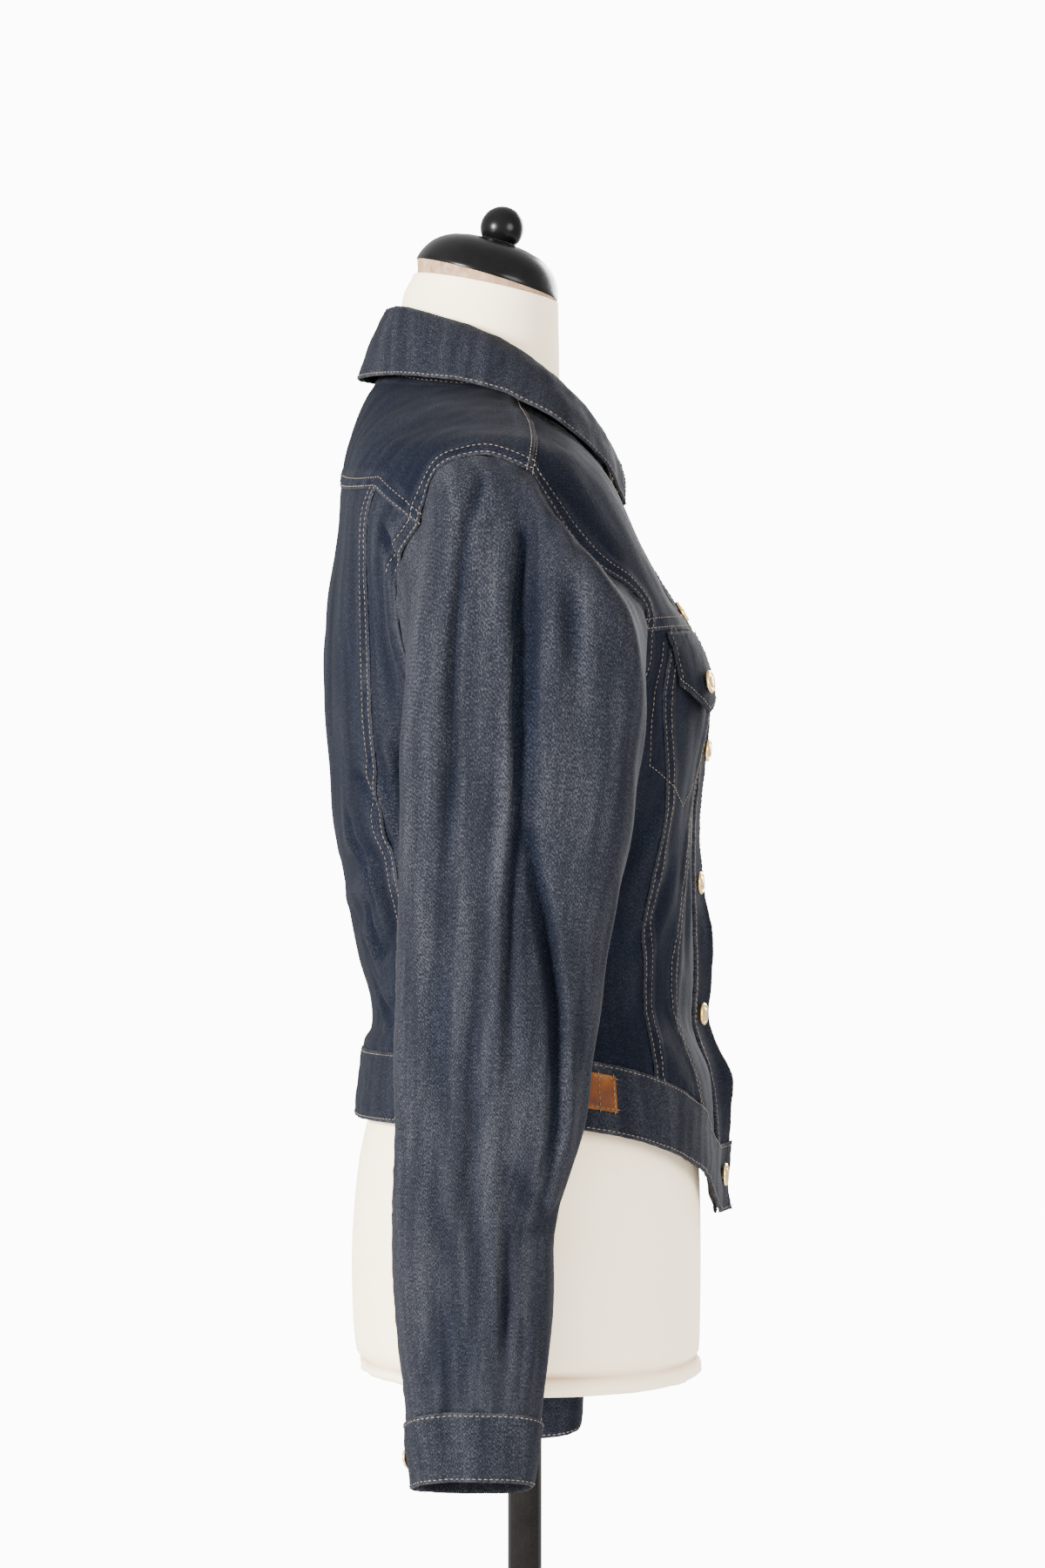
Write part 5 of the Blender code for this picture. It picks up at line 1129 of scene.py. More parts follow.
# ---------------------------------------------------------------- collar
# A stand and a fall of doubled denim. The fall rolls over at the fold and spreads in two points over the
# yokes, with one row of stitches round its edge.
COLLAR_STATIONS = (   # turn, fold x y z, edge x y, edge's lift, swell: from the centre back to a front end
    (180.0, 0.0000, 0.0885, 1.4815, 0.000, 0.1020, 0.0125, 0.0020),
    (135.0, 0.0400, 0.0770, 1.4800, 0.060, 0.0810, 0.0110, 0.0030),
    (90.0, 0.0590, 0.0300, 1.4640, 0.093, 0.0340, 0.0105, 0.0050),
    (68.0, 0.0560, 0.0015, 1.4487, 0.102, 0.0030, 0.0070, 0.0055),
    (44.0, 0.0470, -0.0272, 1.4240, 0.104, -0.0240, 0.0050, 0.0055),
    (26.6, 0.0350, -0.0450, 1.4012, 0.080, -0.0480, 0.0050, 0.0050),
    (11.8, 0.0165, -0.0580, 1.3810, 0.050, -0.0625, 0.0050, 0.0040),
)
ROLL = 0.0028                     # from the fold line out to the top of the fall
FOOT_OUT, FOOT_DOWN = 0.0012, 0.0030      # the stand's lower edge, from the neckline
COLLAR_ROW = EDGE_ROW - 0.0005
NECK_MIDDLE_Y, SHOULDER_LEVEL = 0.03, 11.0


def place_from_above(x, y):
    """(angle, level) of the shoulder's point with this half-breadth and depth."""
    def inside(level):
        ring = ring_at(level)
        ahead = ring["widest_y"] - y
        part = abs(ahead) / reach_of(ring, ahead > 0.0)
        return (abs(x) / ring["half_width"]) ** ring["square"] + part ** ring["square"] < 1.0

    level = halve(SHOULDER_LEVEL, inside)
    return math.atan2(x, ring_at(level)["widest_y"] - y), level


half = []
for turn, fold_x, fold_y, fold_z, edge_x, edge_y, edge_lift, swell in reversed(COLLAR_STATIONS):
    spot = place_from_above(edge_x, edge_y)
    edge = jacket_point(*spot) + jacket_normal(*spot) * edge_lift
    foot = (math.radians(turn), NECKLINE)
    neck = jacket_point(*foot) + jacket_normal(*foot) * FOOT_OUT - np.array((0.0, 0.0, FOOT_DOWN))
    half.append((*neck, fold_x, fold_y, fold_z, *edge, swell))
other = [(-r[0], r[1], r[2], -r[3], r[4], r[5], -r[6], r[7], r[8], r[9]) for r in reversed(half[:-1])]
stations = np.array(half + other)
collar_at = along(stations, spacing(0.46, 0.0028) * (len(stations) - 1))
neck, fold, edge, swell = collar_at[:, 0:3], collar_at[:, 3:6], collar_at[:, 6:9], collar_at[:, 9:10]
away = unit((fold - np.array((0.0, NECK_MIDDLE_Y, 0.0))) * np.array((1.0, 1.0, 0.0)))
roll_top = fold + away * ROLL
down = unit(edge - roll_top)
full = away + np.array((0.0, 0.0, 1.0))
full = unit(full - down * np.sum(full * down, axis=-1, keepdims=True))
stand_ups = spacing(0.045, 0.0030)[:, None, None]
fall_shares = ((1.0 - spacing(0.060, 0.0026)) ** 1.3)[:, None, None]
stand_points = neck[None] + (fold - neck)[None] * stand_ups
fall_points = (roll_top[None] + (edge - roll_top)[None] * fall_shares
               + full[None] * swell[None] * np.sin(math.pi * fall_shares ** 0.7))
# The collar gets a little painted shade.
edged_piece("collar_stand", stand_points, 700, 0.45, ())
edged_piece("collar_fall", fall_points, 710, 0.40,
            [(at, (COLLAR_ROW,)) for at in ("bottom", "left", "right")], wave=0.0005)

# ---------------------------------------------------------------- sleeves
# Long two-piece sleeves of the same denim, narrow under the elbow. They hang almost empty beside the
# form, so the upper arm is pressed flat and breaks into long folds down from the point of the shoulder.
SLEEVE_RINGS = np.array((   # outer x z, inner x z, centre y, half depth, square: from the armhole down
    (0.1915, 1.3745, 0.1655, 1.1850, 0.0040, 0.0810, 2.6),    # armhole
    (0.2150, 1.3550, 0.1690, 1.1730, 0.0000, 0.0775, 2.8),
    (0.2290, 1.3180, 0.1710, 1.1600, -0.0010, 0.0757, 2.8),
    (0.2360, 1.2680, 0.1715, 1.1450, 0.0005, 0.0755, 2.7),
    (0.2385, 1.2100, 0.1720, 1.1260, 0.0040, 0.0742, 2.6),    # upper arm
    (0.2385, 1.1500, 0.1715, 1.1030, 0.0068, 0.0722, 2.5),
    (0.2380, 1.0950, 0.1725, 1.0750, 0.0120, 0.0682, 2.4),
    (0.2375, 1.0420, 0.1735, 1.0380, 0.0155, 0.0655, 2.3),    # elbow
    (0.2370, 0.9900, 0.1745, 0.9900, 0.0198, 0.0622, 2.3),
    (0.2370, 0.9400, 0.1750, 0.9400, 0.0238, 0.0582, 2.3),
    (0.2375, 0.8925, 0.1755, 0.8925, 0.0320, 0.0512, 2.3),
    (0.2375, 0.8500, 0.1765, 0.8500, 0.0322, 0.0500, 2.3),
    (0.2370, 0.8120, 0.1785, 0.8080, 0.0313, 0.0472, 2.3),
    (0.2350, 0.7920, 0.1790, 0.7790, 0.0312, 0.0440, 2.3),
    (0.2310, 0.7750, 0.1800, 0.7570, 0.0315, 0.0420, 2.3),    # joins the cuff
))
WRIST, CAP_END = len(SLEEVE_RINGS) - 1, 3.0
# The wearer's left arm hangs a little forward of the right one, and lower, from below its armhole.
SWING_Y, SWING_Z, SWING_TOP, SWING_LOW, SWING_FROM = -0.033, -0.009, 1.300, 0.740, 5.0
EVEN_BY = 5.0                     # the ring from which a sleeve's columns are evenly spread
FOLDS = (   # top z y, low z y, depth, width: the largest folds of the outer side
    (1.365, 0.006, 1.120, -0.002, 0.0050, 0.0075),      # down from the point of the shoulder
    (1.140, -0.002, 0.985, -0.028, 0.0060, 0.0130),     # the same fold, opening toward the elbow
    (1.372, 0.026, 1.200, 0.035, 0.0026, 0.0080),
    (1.180, 0.047, 0.960, 0.052, 0.0022, 0.0090),
    (0.930, 0.010, 0.885, -0.022, 0.0040, 0.0080),      # inside the elbow
    (0.905, 0.045, 0.790, 0.052, 0.0022, 0.0080),
    (0.860, 0.010, 0.780, 0.020, 0.0025, 0.0060),       # above the cuff
    (0.845, 0.046, 0.690, 0.048, 0.0032, 0.0070),       # into the cuff
)


def oval(rings, turn, place):
    """Points of a sleeve's rings: turn 0 is the outer end, a quarter turn the front."""
    outer_x, outer_z, inner_x, inner_z, centre_y, half_depth, square = np.moveaxis(along(rings, place), -1, 0)
    u, w = np.cos(turn), np.sin(turn)
    reach = (np.abs(u) ** square + np.abs(w) ** square) ** (-1.0 / square)
    out = reach * u
    return np.stack(((outer_x + inner_x) / 2 + out * (outer_x - inner_x) / 2,
                     centre_y - reach * w * half_depth,
                     (outer_z + inner_z) / 2 + out * (outer_z - inner_z) / 2), axis=-1)


def folded(p, turn):
    """Press the folds of the outer side into points of a sleeve or a cuff."""
    p = p.copy()
    for top_z, top_y, low_z, low_y, depth, width in FOLDS:
        share = np.clip((top_z - p[..., 2]) / (top_z - low_z), 0.0, 1.0)
        off = (p[..., 1] - top_y - (low_y - top_y) * share) / width
        p[..., 0] -= (depth * np.sin(math.pi * share) ** 0.5 * blend(0.15, 0.7, np.cos(turn))
                      * np.exp(-off * off))
    return p


hole = np.concatenate((hole_front[:-1], hole_front_yoke[:-1], hole_back_yoke[:-1], hole_back[:-1]))
# The four parts of an armhole: how many points, and where each starts and how far it goes, out of 28.
HOLE_PARTS, WHOLE_HOLE = ((42, 0.0, 6.0), (48, 6.0, 8.0), (36, 14.0, 6.0), (56, 20.0, 8.0)), 28.0
column_at = np.concatenate([before + share * np.arange(count) / count for count, before, share in HOLE_PARTS])
hole_points, hole_normals = jacket_point(hole[:, 0], hole[:, 1]), jacket_normal(hole[:, 0], hole[:, 1])
into_hole = unit(np.cross(np.roll(hole_points, -1, axis=0) - np.roll(hole_points, 1, axis=0), hole_normals))
first = SLEEVE_RINGS[0]
arm = np.array((first[0] - first[2], 0.0, first[1] - first[3])) / 2
arm_middle = np.array((first[0] + first[2], 0.0, first[1] + first[3])) / 2
hole_out = (hole_points - arm_middle) @ arm / (arm @ arm)
hole_turns = np.arctan2((first[4] - hole_points[:, 1]) / first[5], hole_out)
hole_turns = np.where(hole_turns > -math.pi + 0.01, hole_turns, hole_turns + math.tau)

SLEEVE_ROWS = 186
place = (WRIST * (1.0 - np.linspace(0.0, 1.0, SLEEVE_ROWS + 1)) ** 1.2)[:, None] + 0.0 * hole_turns[None, :]
even = math.pi - math.tau * column_at / WHOLE_HOLE
turn = hole_turns + (even - hole_turns) * blend(0.0, EVEN_BY, place)
start = hole_points + into_hole * SEAM_GAP + hole_normals * SEAM_GAP
cap_shift = start - oval(SLEEVE_RINGS, hole_turns, np.zeros(len(hole)))
sleeve_base = oval(SLEEVE_RINGS, turn, place) + cap_shift * (1.0 - blend(0.0, CAP_END, place))[..., None]
fold_depth = sleeve_base[..., 0] - folded(sleeve_base, turn)[..., 0]
sleeve_base = folded(sleeve_base, turn)


def swung(p, share=1.0):
    """Points of the left arm where that arm hangs; share is how far the cloth there goes with it."""
    reach = share * np.maximum(SWING_TOP - p[..., 2], 0.0) / (SWING_TOP - SWING_LOW)
    return p + np.array((0.0, SWING_Y, SWING_Z)) * reach[..., None]


def on_sleeve(y, z, outer):
    """The sleeve's point nearest to this depth and height, on its outer or its inner side."""
    facing = np.cos(turn) > 0.1 if outer else np.cos(turn) < -0.1
    off = np.where(facing, np.hypot(sleeve_base[..., 1] - y, sleeve_base[..., 2] - z), 9.0)
    return sleeve_base[np.unravel_index(np.argmin(off), off.shape)]


# Folds beside and between the large ones: depth, width, and (y, z) places down the sleeve's outer side. The
# left sleeve's lie a little apart.
OUTER_FOLDS = (
    # from the point of the shoulder: a sharp line, with the ridge behind it
    (0.0042, 0.0032, (0.000, 1.366), (0.002, 1.318), (0.005, 1.285), (0.0055, 1.220), (0.004, 1.155),
     (0.0045, 1.110)),
    (-0.0030, 0.0042, (0.0085, 1.360), (0.0085, 1.318), (0.0122, 1.270), (0.0120, 1.220),
     (0.0108, 1.155), (0.0150, 1.100), (0.0180, 1.058), (0.0170, 0.990)),
    (0.0032, 0.0090, (-0.0080, 1.345), (-0.0070, 1.290), (-0.0060, 1.230), (-0.0080, 1.150)),
    (0.0034, 0.0040, (0.0040, 1.150), (0.0088, 1.090), (0.0105, 1.058), (0.0095, 1.025), (0.0085, 0.975)),
    # the flat front of the upper arm ends in a fold that laps the forearm
    (0.0056, 0.0044, (0.002, 1.150), (-0.0105, 1.090), (-0.0160, 1.058), (-0.0190, 1.025),
     (-0.0208, 0.985), (-0.0200, 0.950), (-0.0159, 0.925), (-0.0110, 0.885)),
    (-0.0026, 0.0058, (-0.010, 1.125), (-0.0200, 1.090), (-0.0255, 1.050), (-0.0290, 1.000),
     (-0.0285, 0.960), (-0.0230, 0.925)),
    # behind the point of the shoulder, down to the elbow
    (0.0038, 0.0038, (0.0250, 1.368), (0.0310, 1.348), (0.0350, 1.324), (0.0390, 1.289),
     (0.0430, 1.254), (0.0455, 1.219), (0.0445, 1.188), (0.0470, 1.150), (0.0490, 1.110)),
    (-0.0024, 0.0048, (0.0410, 1.350), (0.0465, 1.318), (0.0510, 1.280), (0.0530, 1.220), (0.0550, 1.150)),
    (-0.0015, 0.0050, (0.0290, 1.350), (0.0335, 1.318), (0.0375, 1.280), (0.0390, 1.215)),
    (-0.0020, 0.0080, (0.0190, 1.365), (0.0210, 1.310), (0.0225, 1.240), (0.0230, 1.150)),
    (0.0030, 0.0030, (0.0305, 1.370), (0.0295, 1.355), (0.0285, 1.335)),
    # the front of the cap
    (0.0016, 0.0060, (-0.020, 1.335), (-0.026, 1.290), (-0.030, 1.235)),
    (0.0024, 0.0055, (-0.031, 1.320), (-0.031, 1.280), (-0.030, 1.225)),
    (-0.0016, 0.0090, (-0.014, 1.280), (-0.016, 1.200), (-0.022, 1.130)),
    # elbow and forearm
    (0.0028, 0.0055, (0.0290, 1.140), (0.0290, 1.058), (0.0325, 1.020), (0.0330, 0.985), (0.0300, 0.960),
     (0.0315, 0.928), (0.0315, 0.890), (0.0290, 0.860), (0.0335, 0.825)),
    (-0.0022, 0.0050, (0.0177, 1.010), (0.0180, 0.960), (0.0177, 0.900), (0.0190, 0.850), (0.0200, 0.790)),
    (0.0026, 0.0036, (0.0110, 0.890), (0.0120, 0.860), (0.0122, 0.830), (0.0090, 0.795)),
    (-0.0018, 0.0060, (0.0640, 1.120), (0.0665, 1.058), (0.0670, 1.000), (0.0660, 0.950)),
    (0.0018, 0.0060, (0.0500, 1.060), (0.0510, 1.000), (0.0490, 0.930)),
    (0.0024, 0.0055, (-0.026, 0.905), (-0.012, 0.888), (0.004, 0.886)),
    (0.0020, 0.0060, (0.060, 0.945), (0.054, 0.900), (0.046, 0.865)),
    # puckers above the cuff
    (0.0022, 0.0050, (0.034, 0.835), (0.036, 0.805), (0.036, 0.776)),
    (0.0020, 0.0042, (0.000, 0.835), (0.002, 0.805), (0.004, 0.780)),
    (0.0018, 0.0042, (0.058, 0.830), (0.060, 0.800), (0.060, 0.776)),
)
INNER_FOLDS = (    # the side toward the body
    (0.0030, 0.0080, (0.020, 1.150), (0.006, 1.060), (-0.010, 0.990)),
    (0.0024, 0.0075, (0.044, 1.080), (0.030, 0.990), (0.020, 0.930)),
    (0.0024, 0.0070, (-0.010, 0.930), (0.010, 0.900), (0.034, 0.890)),
    (0.0020, 0.0060, (0.030, 0.850), (0.034, 0.810), (0.036, 0.775)),
)
SLEEVE_CREASES = [([on_sleeve(y, z, folds is OUTER_FOLDS) for y, z in places], depth, width)
                  for folds in (OUTER_FOLDS, INNER_FOLDS) for depth, width, *places in folds]
sleeve_normals = grid_normals(sleeve_base, closed=True)
hole_away = walk_along(sleeve_base[::-1], 0)[::-1]
HOLE_COLUMNS = len(hole)
UPPER, UNDER_ARM = np.arange(35, 148), np.arange(147, HOLE_COLUMNS + 36) % HOLE_COLUMNS
INTO_CUFF, SLEEVE_COVERED = 0.0022, 1.215
# Shade is painted into the sleeves: a little everywhere, and more in the troughs of the folds.
LEAST_SHADE, TROUGH_SHADE, SHADE_FROM, SHADE_OVER = 0.10, 0.85, 0.0004, 0.0045
SLEEVE_PIECES = (("upper_sleeve", UPPER, {"left": UNDER, "right": OVER}, (0.326, 0.626), 0.1193),
                 ("under_sleeve", UNDER_ARM, {}, (0.240, 0.533), 0.0581))
for side, tag, seed, shift, deep, end in (
        (RIGHT, "r", 800, (0.0, 0.0, 0.0), 1.0, "left"), (LEFT, "l", 900, (0.0, 0.006, -0.012), 0.85, "right")):
    creases = [(np.array(line) + shift, depth * deep, width) for line, depth, width in SLEEVE_CREASES]
    gather = waves(sleeve_base, 0.00055, 0.0065, seed, 0.6) * hill(hole_away, 0.004, 0.012)
    relief = (press(sleeve_base, creases) + waves(sleeve_base, 0.0007, 0.030, seed + 1)
              + waves(sleeve_base, 0.0005, 0.011, seed + 2, 0.30) + gather)
    relief *= blend(-0.005, 0.008, hole_away)
    whole = sleeve_base + sleeve_normals * relief[..., None]
    whole[..., 2] -= INTO_CUFF * blend(WRIST - 0.5, WRIST, place)
    # Painted shade, deepest in the folds' troughs.
    kept = LEAST_SHADE + np.clip((0.8 * fold_depth - relief - SHADE_FROM) / SHADE_OVER, 0.0, 1.0) * TROUGH_SHADE
    if side == LEFT:
        whole = swung(whole, blend(0.0, SWING_FROM, place))
    for name, columns, kinds, flat, area in SLEEVE_PIECES:
        points, painted_shade = whole[:, columns], kept[:, columns]
        rise, wear = seam_relief(points, edge_walks(points), kinds, seed + 5)
        points = points + grid_normals(points) * rise[..., None]
        if kinds:
            folded_over(points, "right")
        if side == RIGHT:
            points, wear, painted_shade = mirrored(points), wear[:, ::-1], painted_shade[:, ::-1]
        rows_before = len(sewn_rows)
        rows = [(end, FELL_ROWS)] if kinds else []
        sewn_piece(f"{name}_{tag}", points, wear, painted_shade, rows)
        sew_uncovered(rows_before, SLEEVE_COVERED, math.inf)

# ---------------------------------------------------------------- cuffs
# A strip of doubled denim ends on top of its own start behind each arm, and is stitched near its edges.
CUFF_RINGS = np.array((
    (0.2320, 0.7750, 0.1790, 0.7570, 0.0315, 0.0430, 2.3),
    (0.2315, 0.7550, 0.1795, 0.7380, 0.0315, 0.0410, 2.3),
    (0.2300, 0.7310, 0.1820, 0.7180, 0.0317, 0.0375, 2.3),
))
UNDER_END, OVER_END, LAP_FROM = -100.0, -494.0, -438.0        # turns in degrees


def cuff_point(degrees, up, depth=0.0):
    """A point of the left cuff's outer face; the end on top stands out by one layer."""
    place, angle, step = (len(CUFF_RINGS) - 1) * (1.0 - up), np.radians(degrees), math.radians(1.0)
    p = folded(oval(CUFF_RINGS, angle, place), angle)
    run = oval(CUFF_RINGS, angle - step, place) - oval(CUFF_RINGS, angle + step, place)
    rise = oval(CUFF_RINGS, angle, place - 0.05) - oval(CUFF_RINGS, angle, place + 0.05)
    over = (BAND_CLOTH + 2 * SEAM_GAP) * blend(-LAP_FROM, -(UNDER_END - 360.0), -degrees)
    return p + unit(np.cross(run, rise)) * (over - depth)[..., None] - np.array((0.0, 0.0, 2 * SEAM_GAP))


cuff_turns = -evenly(lambda t: cuff_point(-t, np.full(t.shape, 0.5), np.zeros(t.shape)),
                     -UNDER_END, -OVER_END, 0.0026)
cuff_turn, cuff_up = np.broadcast_arrays(cuff_turns[None, :], spacing(0.043, 0.0026)[:, None])
cuff_points = cuff_point(cuff_turn, cuff_up)
# The number after the seed is painted shade: the left cuff, in the form's shadow, is darker.
for side, tag, seed, painted_shade, end in ((RIGHT, "r", 1000, 0.25, "left"), (LEFT, "l", 1020, 0.60, "right")):
    points = swung(cuff_points) if side == LEFT else mirrored(cuff_points)
    edged_piece(f"cuff_{tag}", points, seed, painted_shade,
                [(at, (EDGE_ROW,)) for at in ("top", "bottom", end)],
                wave=0.0005)

# ---------------------------------------------------------------- leather patch
# A plain rectangle of waxed brown leather with worn edges, sewn on the waistband at the wearer's right.
PATCH_FRONT, PATCH_BACK, PATCH_LOW, PATCH_HIGH, PATCH_THICK = -0.058, 0.004, 0.30, 0.80, 0.0013
PATCH_ROW, PATCH_INNER_ROW = 0.0020, 0.0125
leather, tree, shader = new_material("waxed_leather")
place_3d = place_node(tree)
pores = add_node(tree, "ShaderNodeTexVoronoi", Vector=place_3d, Scale=1100.0).outputs["Distance"]
stain = noise_node(tree, place_3d, 90.0, 4.0)
tone = math_node(tree, "ADD", stain, math_node(tree, "MULTIPLY", attribute_node(tree, "wear"), 0.25))
feed(shader, Base_Color=ramp_node(tree, tone, (
    (0.30, (0.042, 0.0092, 0.0008)), (0.55, (0.080, 0.0215, 0.0022)), (0.85, (0.150, 0.053, 0.010)))),
     Normal=bump_node(tree, pores, 0.30, 0.0003), Roughness=ramp_node(tree, stain, ((0.3, 0.45), (0.7, 0.62))),
     Specular_IOR_Level=0.08)
low_angle, high_angle = (angle_by_y(y, BAND_TOP / 2) for y in (PATCH_BACK, PATCH_FRONT))
patch_cols, patch_rows = spacing(0.062, 0.0016), spacing(0.022, 0.0016)
patch_turn, patch_up = np.broadcast_arrays(
    (math.tau - low_angle + (low_angle - high_angle) * patch_cols)[None, :],
    (PATCH_LOW + (PATCH_HIGH - PATCH_LOW) * patch_rows)[:, None])
patch_lift = 2 * SEAM_GAP + PATCH_THICK
points = waistband_point(patch_turn, patch_up, np.full(patch_turn.shape, -patch_lift))
nearest_edge = np.minimum.reduce(list(edge_walks(points).values()))
points += grid_normals(points) * (
    waves(points, 0.00015, 0.006, 77) - 0.0003 * hill(nearest_edge, 0.0022, 0.0008))[..., None]
piece = cloth_mesh("patch_leather", points, PATCH_THICK, hill(nearest_edge, 0.0, 0.0015))
piece.data.materials[0] = leather
keep(piece, "leather_patch")
for at in SIDES:
    sew_beside(points, at, (PATCH_ROW, PATCH_INNER_ROW) if at == "right" else (PATCH_ROW,))

# ---------------------------------------------------------------- buttons
# Riveted jeans buttons of brass, gold plated and a little rubbed: a domed head with a rolled rim, on a
# short shank. Five close the band, one the waistband, one each flap and one each cuff.
BUTTON_RADIUS, SHANK_RADIUS, SHANK_LEAST, BUTTON_STEPS = 0.0076, 0.0030, 0.0006, 36
BUTTON_HEAD = ((0.0, 0.00285), (0.0012, 0.0029), (0.0024, 0.0028), (0.0034, 0.0026), (0.0041, 0.0022),
               (0.0046, 0.00205), (0.0052, 0.00215), (0.0058, 0.0024), (0.0064, 0.0024), (0.0070, 0.0021),
               (0.0074, 0.0015), (BUTTON_RADIUS, 0.0009), (0.0074, 0.0003), (0.0070, 0.0))
SLOPE_STEP, ROUND_IT = 1e-3, 1.4    # how far apart the slope is taken; how many radii round it the cloth counts
gold = drifting("rubbed_gold", (420.0, 4.0), ((0.30, (0.50, 0.31, 0.11)), (0.62, (0.83, 0.60, 0.27))),
                ((0.3, 0.42), (0.7, 0.22)), (1500.0, 0.10, 0.0002), Metallic=1.0)


def button(node, surface, a, b, side=LEFT, seat=2 * SEAM_GAP):
    """A button on a surface(a, b), its shank just long enough to hold its rim clear of the cloth."""
    def at(x, y):
        return surface(np.float64(x), np.float64(y))

    p, step = at(a, b), SLOPE_STEP
    n = unit(np.cross(at(a + step, b) - at(a - step, b), at(a, b + step) - at(a, b - step)))
    reach = ROUND_IT * BUTTON_RADIUS * step
    reach_a = reach / np.linalg.norm(at(a + step, b) - p)
    reach_b = reach / np.linalg.norm(at(a, b + step) - p)
    shank = max([SHANK_LEAST] + [
        float((at(a + reach_a * math.cos(t), b + reach_b * math.sin(t)) - p) @ n) + SEAM_GAP
        for t in np.arange(8) * math.tau / 8])
    profile = [(radius, height + shank) for radius, height in BUTTON_HEAD]
    profile += [(SHANK_RADIUS, shank), (SHANK_RADIUS, 0.0), (0.0, 0.0)]
    if side == RIGHT:
        p, n = p * (-1.0, 1.0, 1.0), n * (-1.0, 1.0, 1.0)
    made = turned(f"{node}_brass", profile, BUTTON_STEPS, upright(Vector(p + n * seat), Vector(n)), gold)
    keep(made, node)


BAND_BUTTONS = ((1.3667, 0.0006), (1.2780, 0.0006), (1.1890, 0.0006), (1.1000, 0.0006), (1.0130, 0.0012))
for index, (z, seat) in enumerate(BAND_BUTTONS):
    button(f"button_front_{index + 1}", lambda a, b: top_layer(a, b, LAYER), 0.0, place_by_x(0.0, z)[1],
           seat=seat)
button("button_front_6", lambda a, b: waistband_point(a, b, np.float64(0.0)), math.tau, 0.54)
FLAP_BUTTON_XZ, CUFF_BUTTON_TURN, CUFF_BUTTON_UP = (0.083, 1.232), -480.0, 0.5
for side, tag in BOTH:
    button(f"button_flap_{tag}", flap_point, *place_by_x(*FLAP_BUTTON_XZ), side)
    button(f"button_cuff_{tag}", lambda a, b: swung(cuff_point(-a, b)) if side == LEFT else cuff_point(-a, b),
           -CUFF_BUTTON_TURN, CUFF_BUTTON_UP, side)

# ---------------------------------------------------------------- topstitching
# Tan cotton thread, about seven stitches to the inch, laid in rows beside the seams and edges. One small
# stitch is repeated along every row, upright on the cloth.
STITCH_PITCH, STITCH_LONG, STITCH_WIDE, STITCH_HIGH = 0.0036, 0.0028, 0.00070, 0.00055
STITCH_LIFT = 0.0002              # the thread's middle over the cloth
thread = drifting("tan_thread", (60.0, 3.0), ((0.3, (0.060, 0.044, 0.031)), (0.7, (0.155, 0.115, 0.081))), 0.75,
                  (2500.0, 0.3, 0.0002))

SOCKETS = (("Rows", "INPUT", "Geometry"), ("Pitch", "INPUT", "Float"), ("Length", "INPUT", "Float"),
           ("Width", "INPUT", "Float"), ("Height", "INPUT", "Float"), ("Thread", "INPUT", "Material"),
           ("Stitches", "OUTPUT", "Geometry"))
stitching = bpy.data.node_groups.new("rows_of_stitches", "GeometryNodeTree")
for name, way, kind in SOCKETS:
    stitching.interface.new_socket(name, in_out=way, socket_type=f"NodeSocket{kind}")
given = stitching.nodes.new("NodeGroupInput").outputs
curves = add_node(stitching, "GeometryNodeMeshToCurve", Mesh=given["Rows"]).outputs["Curve"]
even_rows = add_node(stitching, "GeometryNodeResampleCurve", Curve=curves)
even_rows.mode = "LENGTH"
feed(even_rows, Length=given["Pitch"])
one_stitch = add_node(stitching, "GeometryNodeMeshIcoSphere", Radius=0.5, Subdivisions=1)
size = add_node(stitching, "ShaderNodeCombineXYZ", X=given["Length"], Y=given["Width"], Z=given["Height"])
upward = stitching.nodes.new("GeometryNodeInputNamedAttribute")
upward.data_type = "FLOAT_VECTOR"
upward.inputs["Name"].default_value = "up"
tangent = stitching.nodes.new("GeometryNodeInputTangent").outputs["Tangent"]
along_row = add_node(stitching, "FunctionNodeAlignRotationToVector", Vector=tangent)
along_row.axis = "X"
stood_up = add_node(stitching, "FunctionNodeAlignRotationToVector", Rotation=along_row.outputs["Rotation"],
                    Vector=upward.outputs["Attribute"])
stood_up.axis, stood_up.pivot_axis = "Z", "X"
laid = add_node(stitching, "GeometryNodeInstanceOnPoints", Points=even_rows.outputs["Curve"],
                Instance=one_stitch.outputs["Mesh"], Rotation=stood_up.outputs["Rotation"],
                Scale=size.outputs["Vector"])
real = add_node(stitching, "GeometryNodeRealizeInstances", Geometry=laid.outputs["Instances"])
smooth = add_node(stitching, "GeometryNodeSetShadeSmooth", Geometry=real.outputs["Geometry"])
colored = add_node(stitching, "GeometryNodeSetMaterial", Geometry=smooth.outputs["Geometry"],
                   Material=given["Thread"])
add_node(stitching, "NodeGroupOutput", Stitches=colored.outputs["Geometry"])


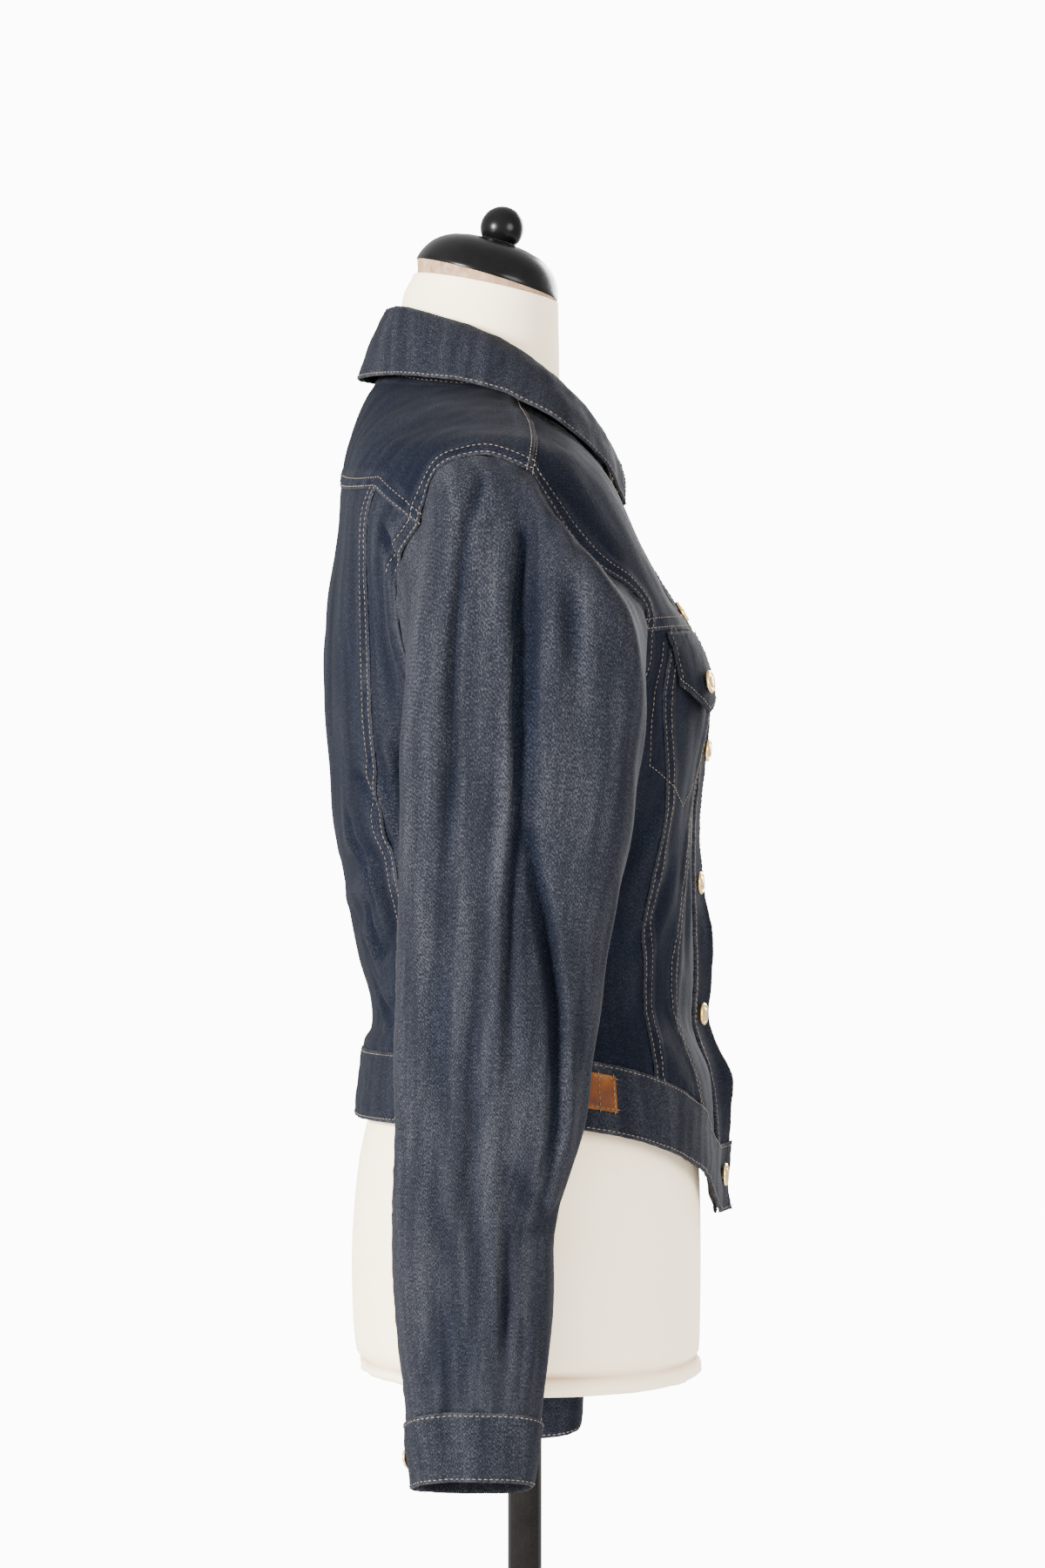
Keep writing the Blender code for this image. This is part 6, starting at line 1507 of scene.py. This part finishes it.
def sew(name, rows):
    """Lay stitches along rows of (points, normals) and keep them as one plain mesh."""
    points, ups = (np.concatenate([row[part] for row in rows]) for part in (0, 1))
    edges, before = [], 0
    for row, _ in rows:
        edges += [(before + i, before + i + 1) for i in range(len(row) - 1)]
        before += len(row)
    mesh = bpy.data.meshes.new(f"{name}_rows")
    mesh.from_pydata((points + ups * STITCH_LIFT).tolist(), edges, [])
    upward = mesh.attributes.new("up", "FLOAT_VECTOR", "POINT")
    upward.data.foreach_set("vector", ups.astype(np.float32).ravel())
    guide = put(f"{name}_rows", mesh)
    modifier = guide.modifiers.new("stitches", "NODES")
    modifier.node_group = stitching
    values = dict(Pitch=STITCH_PITCH, Length=STITCH_LONG, Width=STITCH_WIDE, Height=STITCH_HIGH, Thread=thread)
    for item in stitching.interface.items_tree:
        if item.name in values:
            modifier[item.identifier] = values[item.name]
    finished = bpy.data.meshes.new_from_object(guide.evaluated_get(bpy.context.evaluated_depsgraph_get()))
    guide.modifiers.clear()
    bpy.data.objects.remove(guide)
    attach(put(name, finished), "root")


sew("topstitching", sewn_rows)

# ---------------------------------------------------------------- floor and light
# A plain pale studio: a white floor under the stand, a strong soft light from the wearer's right and
# behind, and weaker ones from the front and from the left.
FLOOR_RADIUS, FLOOR_DROP = 2.6, 0.0005    # the floor lies a little under the base plate
floor_mesh = bmesh.new()
bmesh.ops.create_circle(floor_mesh, cap_ends=True, radius=FLOOR_RADIUS, segments=96)
floor_data = bpy.data.meshes.new("floor")
floor_mesh.to_mesh(floor_data)
floor_mesh.free()
floor = put("floor", floor_data)
floor.location.z = -FLOOR_DROP
floor_data.materials.append(drifting("pale_floor", (3.0, 2.0), ((0.3, 0.80), (0.7, 0.84)), 0.9))

AMBIENT, BACKDROP = 1.25, 12.0    # the room's light, and its far wall as seen
world = bpy.data.worlds.new("studio")
world.use_nodes = True
tree = world.node_tree
seen = tree.nodes.new("ShaderNodeLightPath").outputs["Is Camera Ray"]
glow = add_node(tree, "ShaderNodeMapRange", Value=seen, To_Min=AMBIENT, To_Max=BACKDROP)
feed(tree.nodes["Background"], Color=(1.0, 1.0, 1.0, 1.0), Strength=glow.outputs["Result"])
bpy.context.scene.world = world
LIGHTS = (("key", (-2.2, 2.3, 1.8), (0.0, 0.02, 1.15), 0.9, 540.0),
          ("front", (-2.2, -2.0, 1.6), (0.0, 0.0, 1.1), 1.6, 130.0),
          ("left", (2.4, -1.2, 1.9), (0.0, 0.0, 1.1), 1.6, 130.0))
for name, spot, aim, size, power in LIGHTS:
    light = put(name, bpy.data.lights.new(name, "AREA"))
    light.data.shape, light.data.size, light.data.energy = "DISK", size, power
    light.location = spot
    light.rotation_euler = (Vector(aim) - Vector(spot)).to_track_quat("-Z", "Y").to_euler()
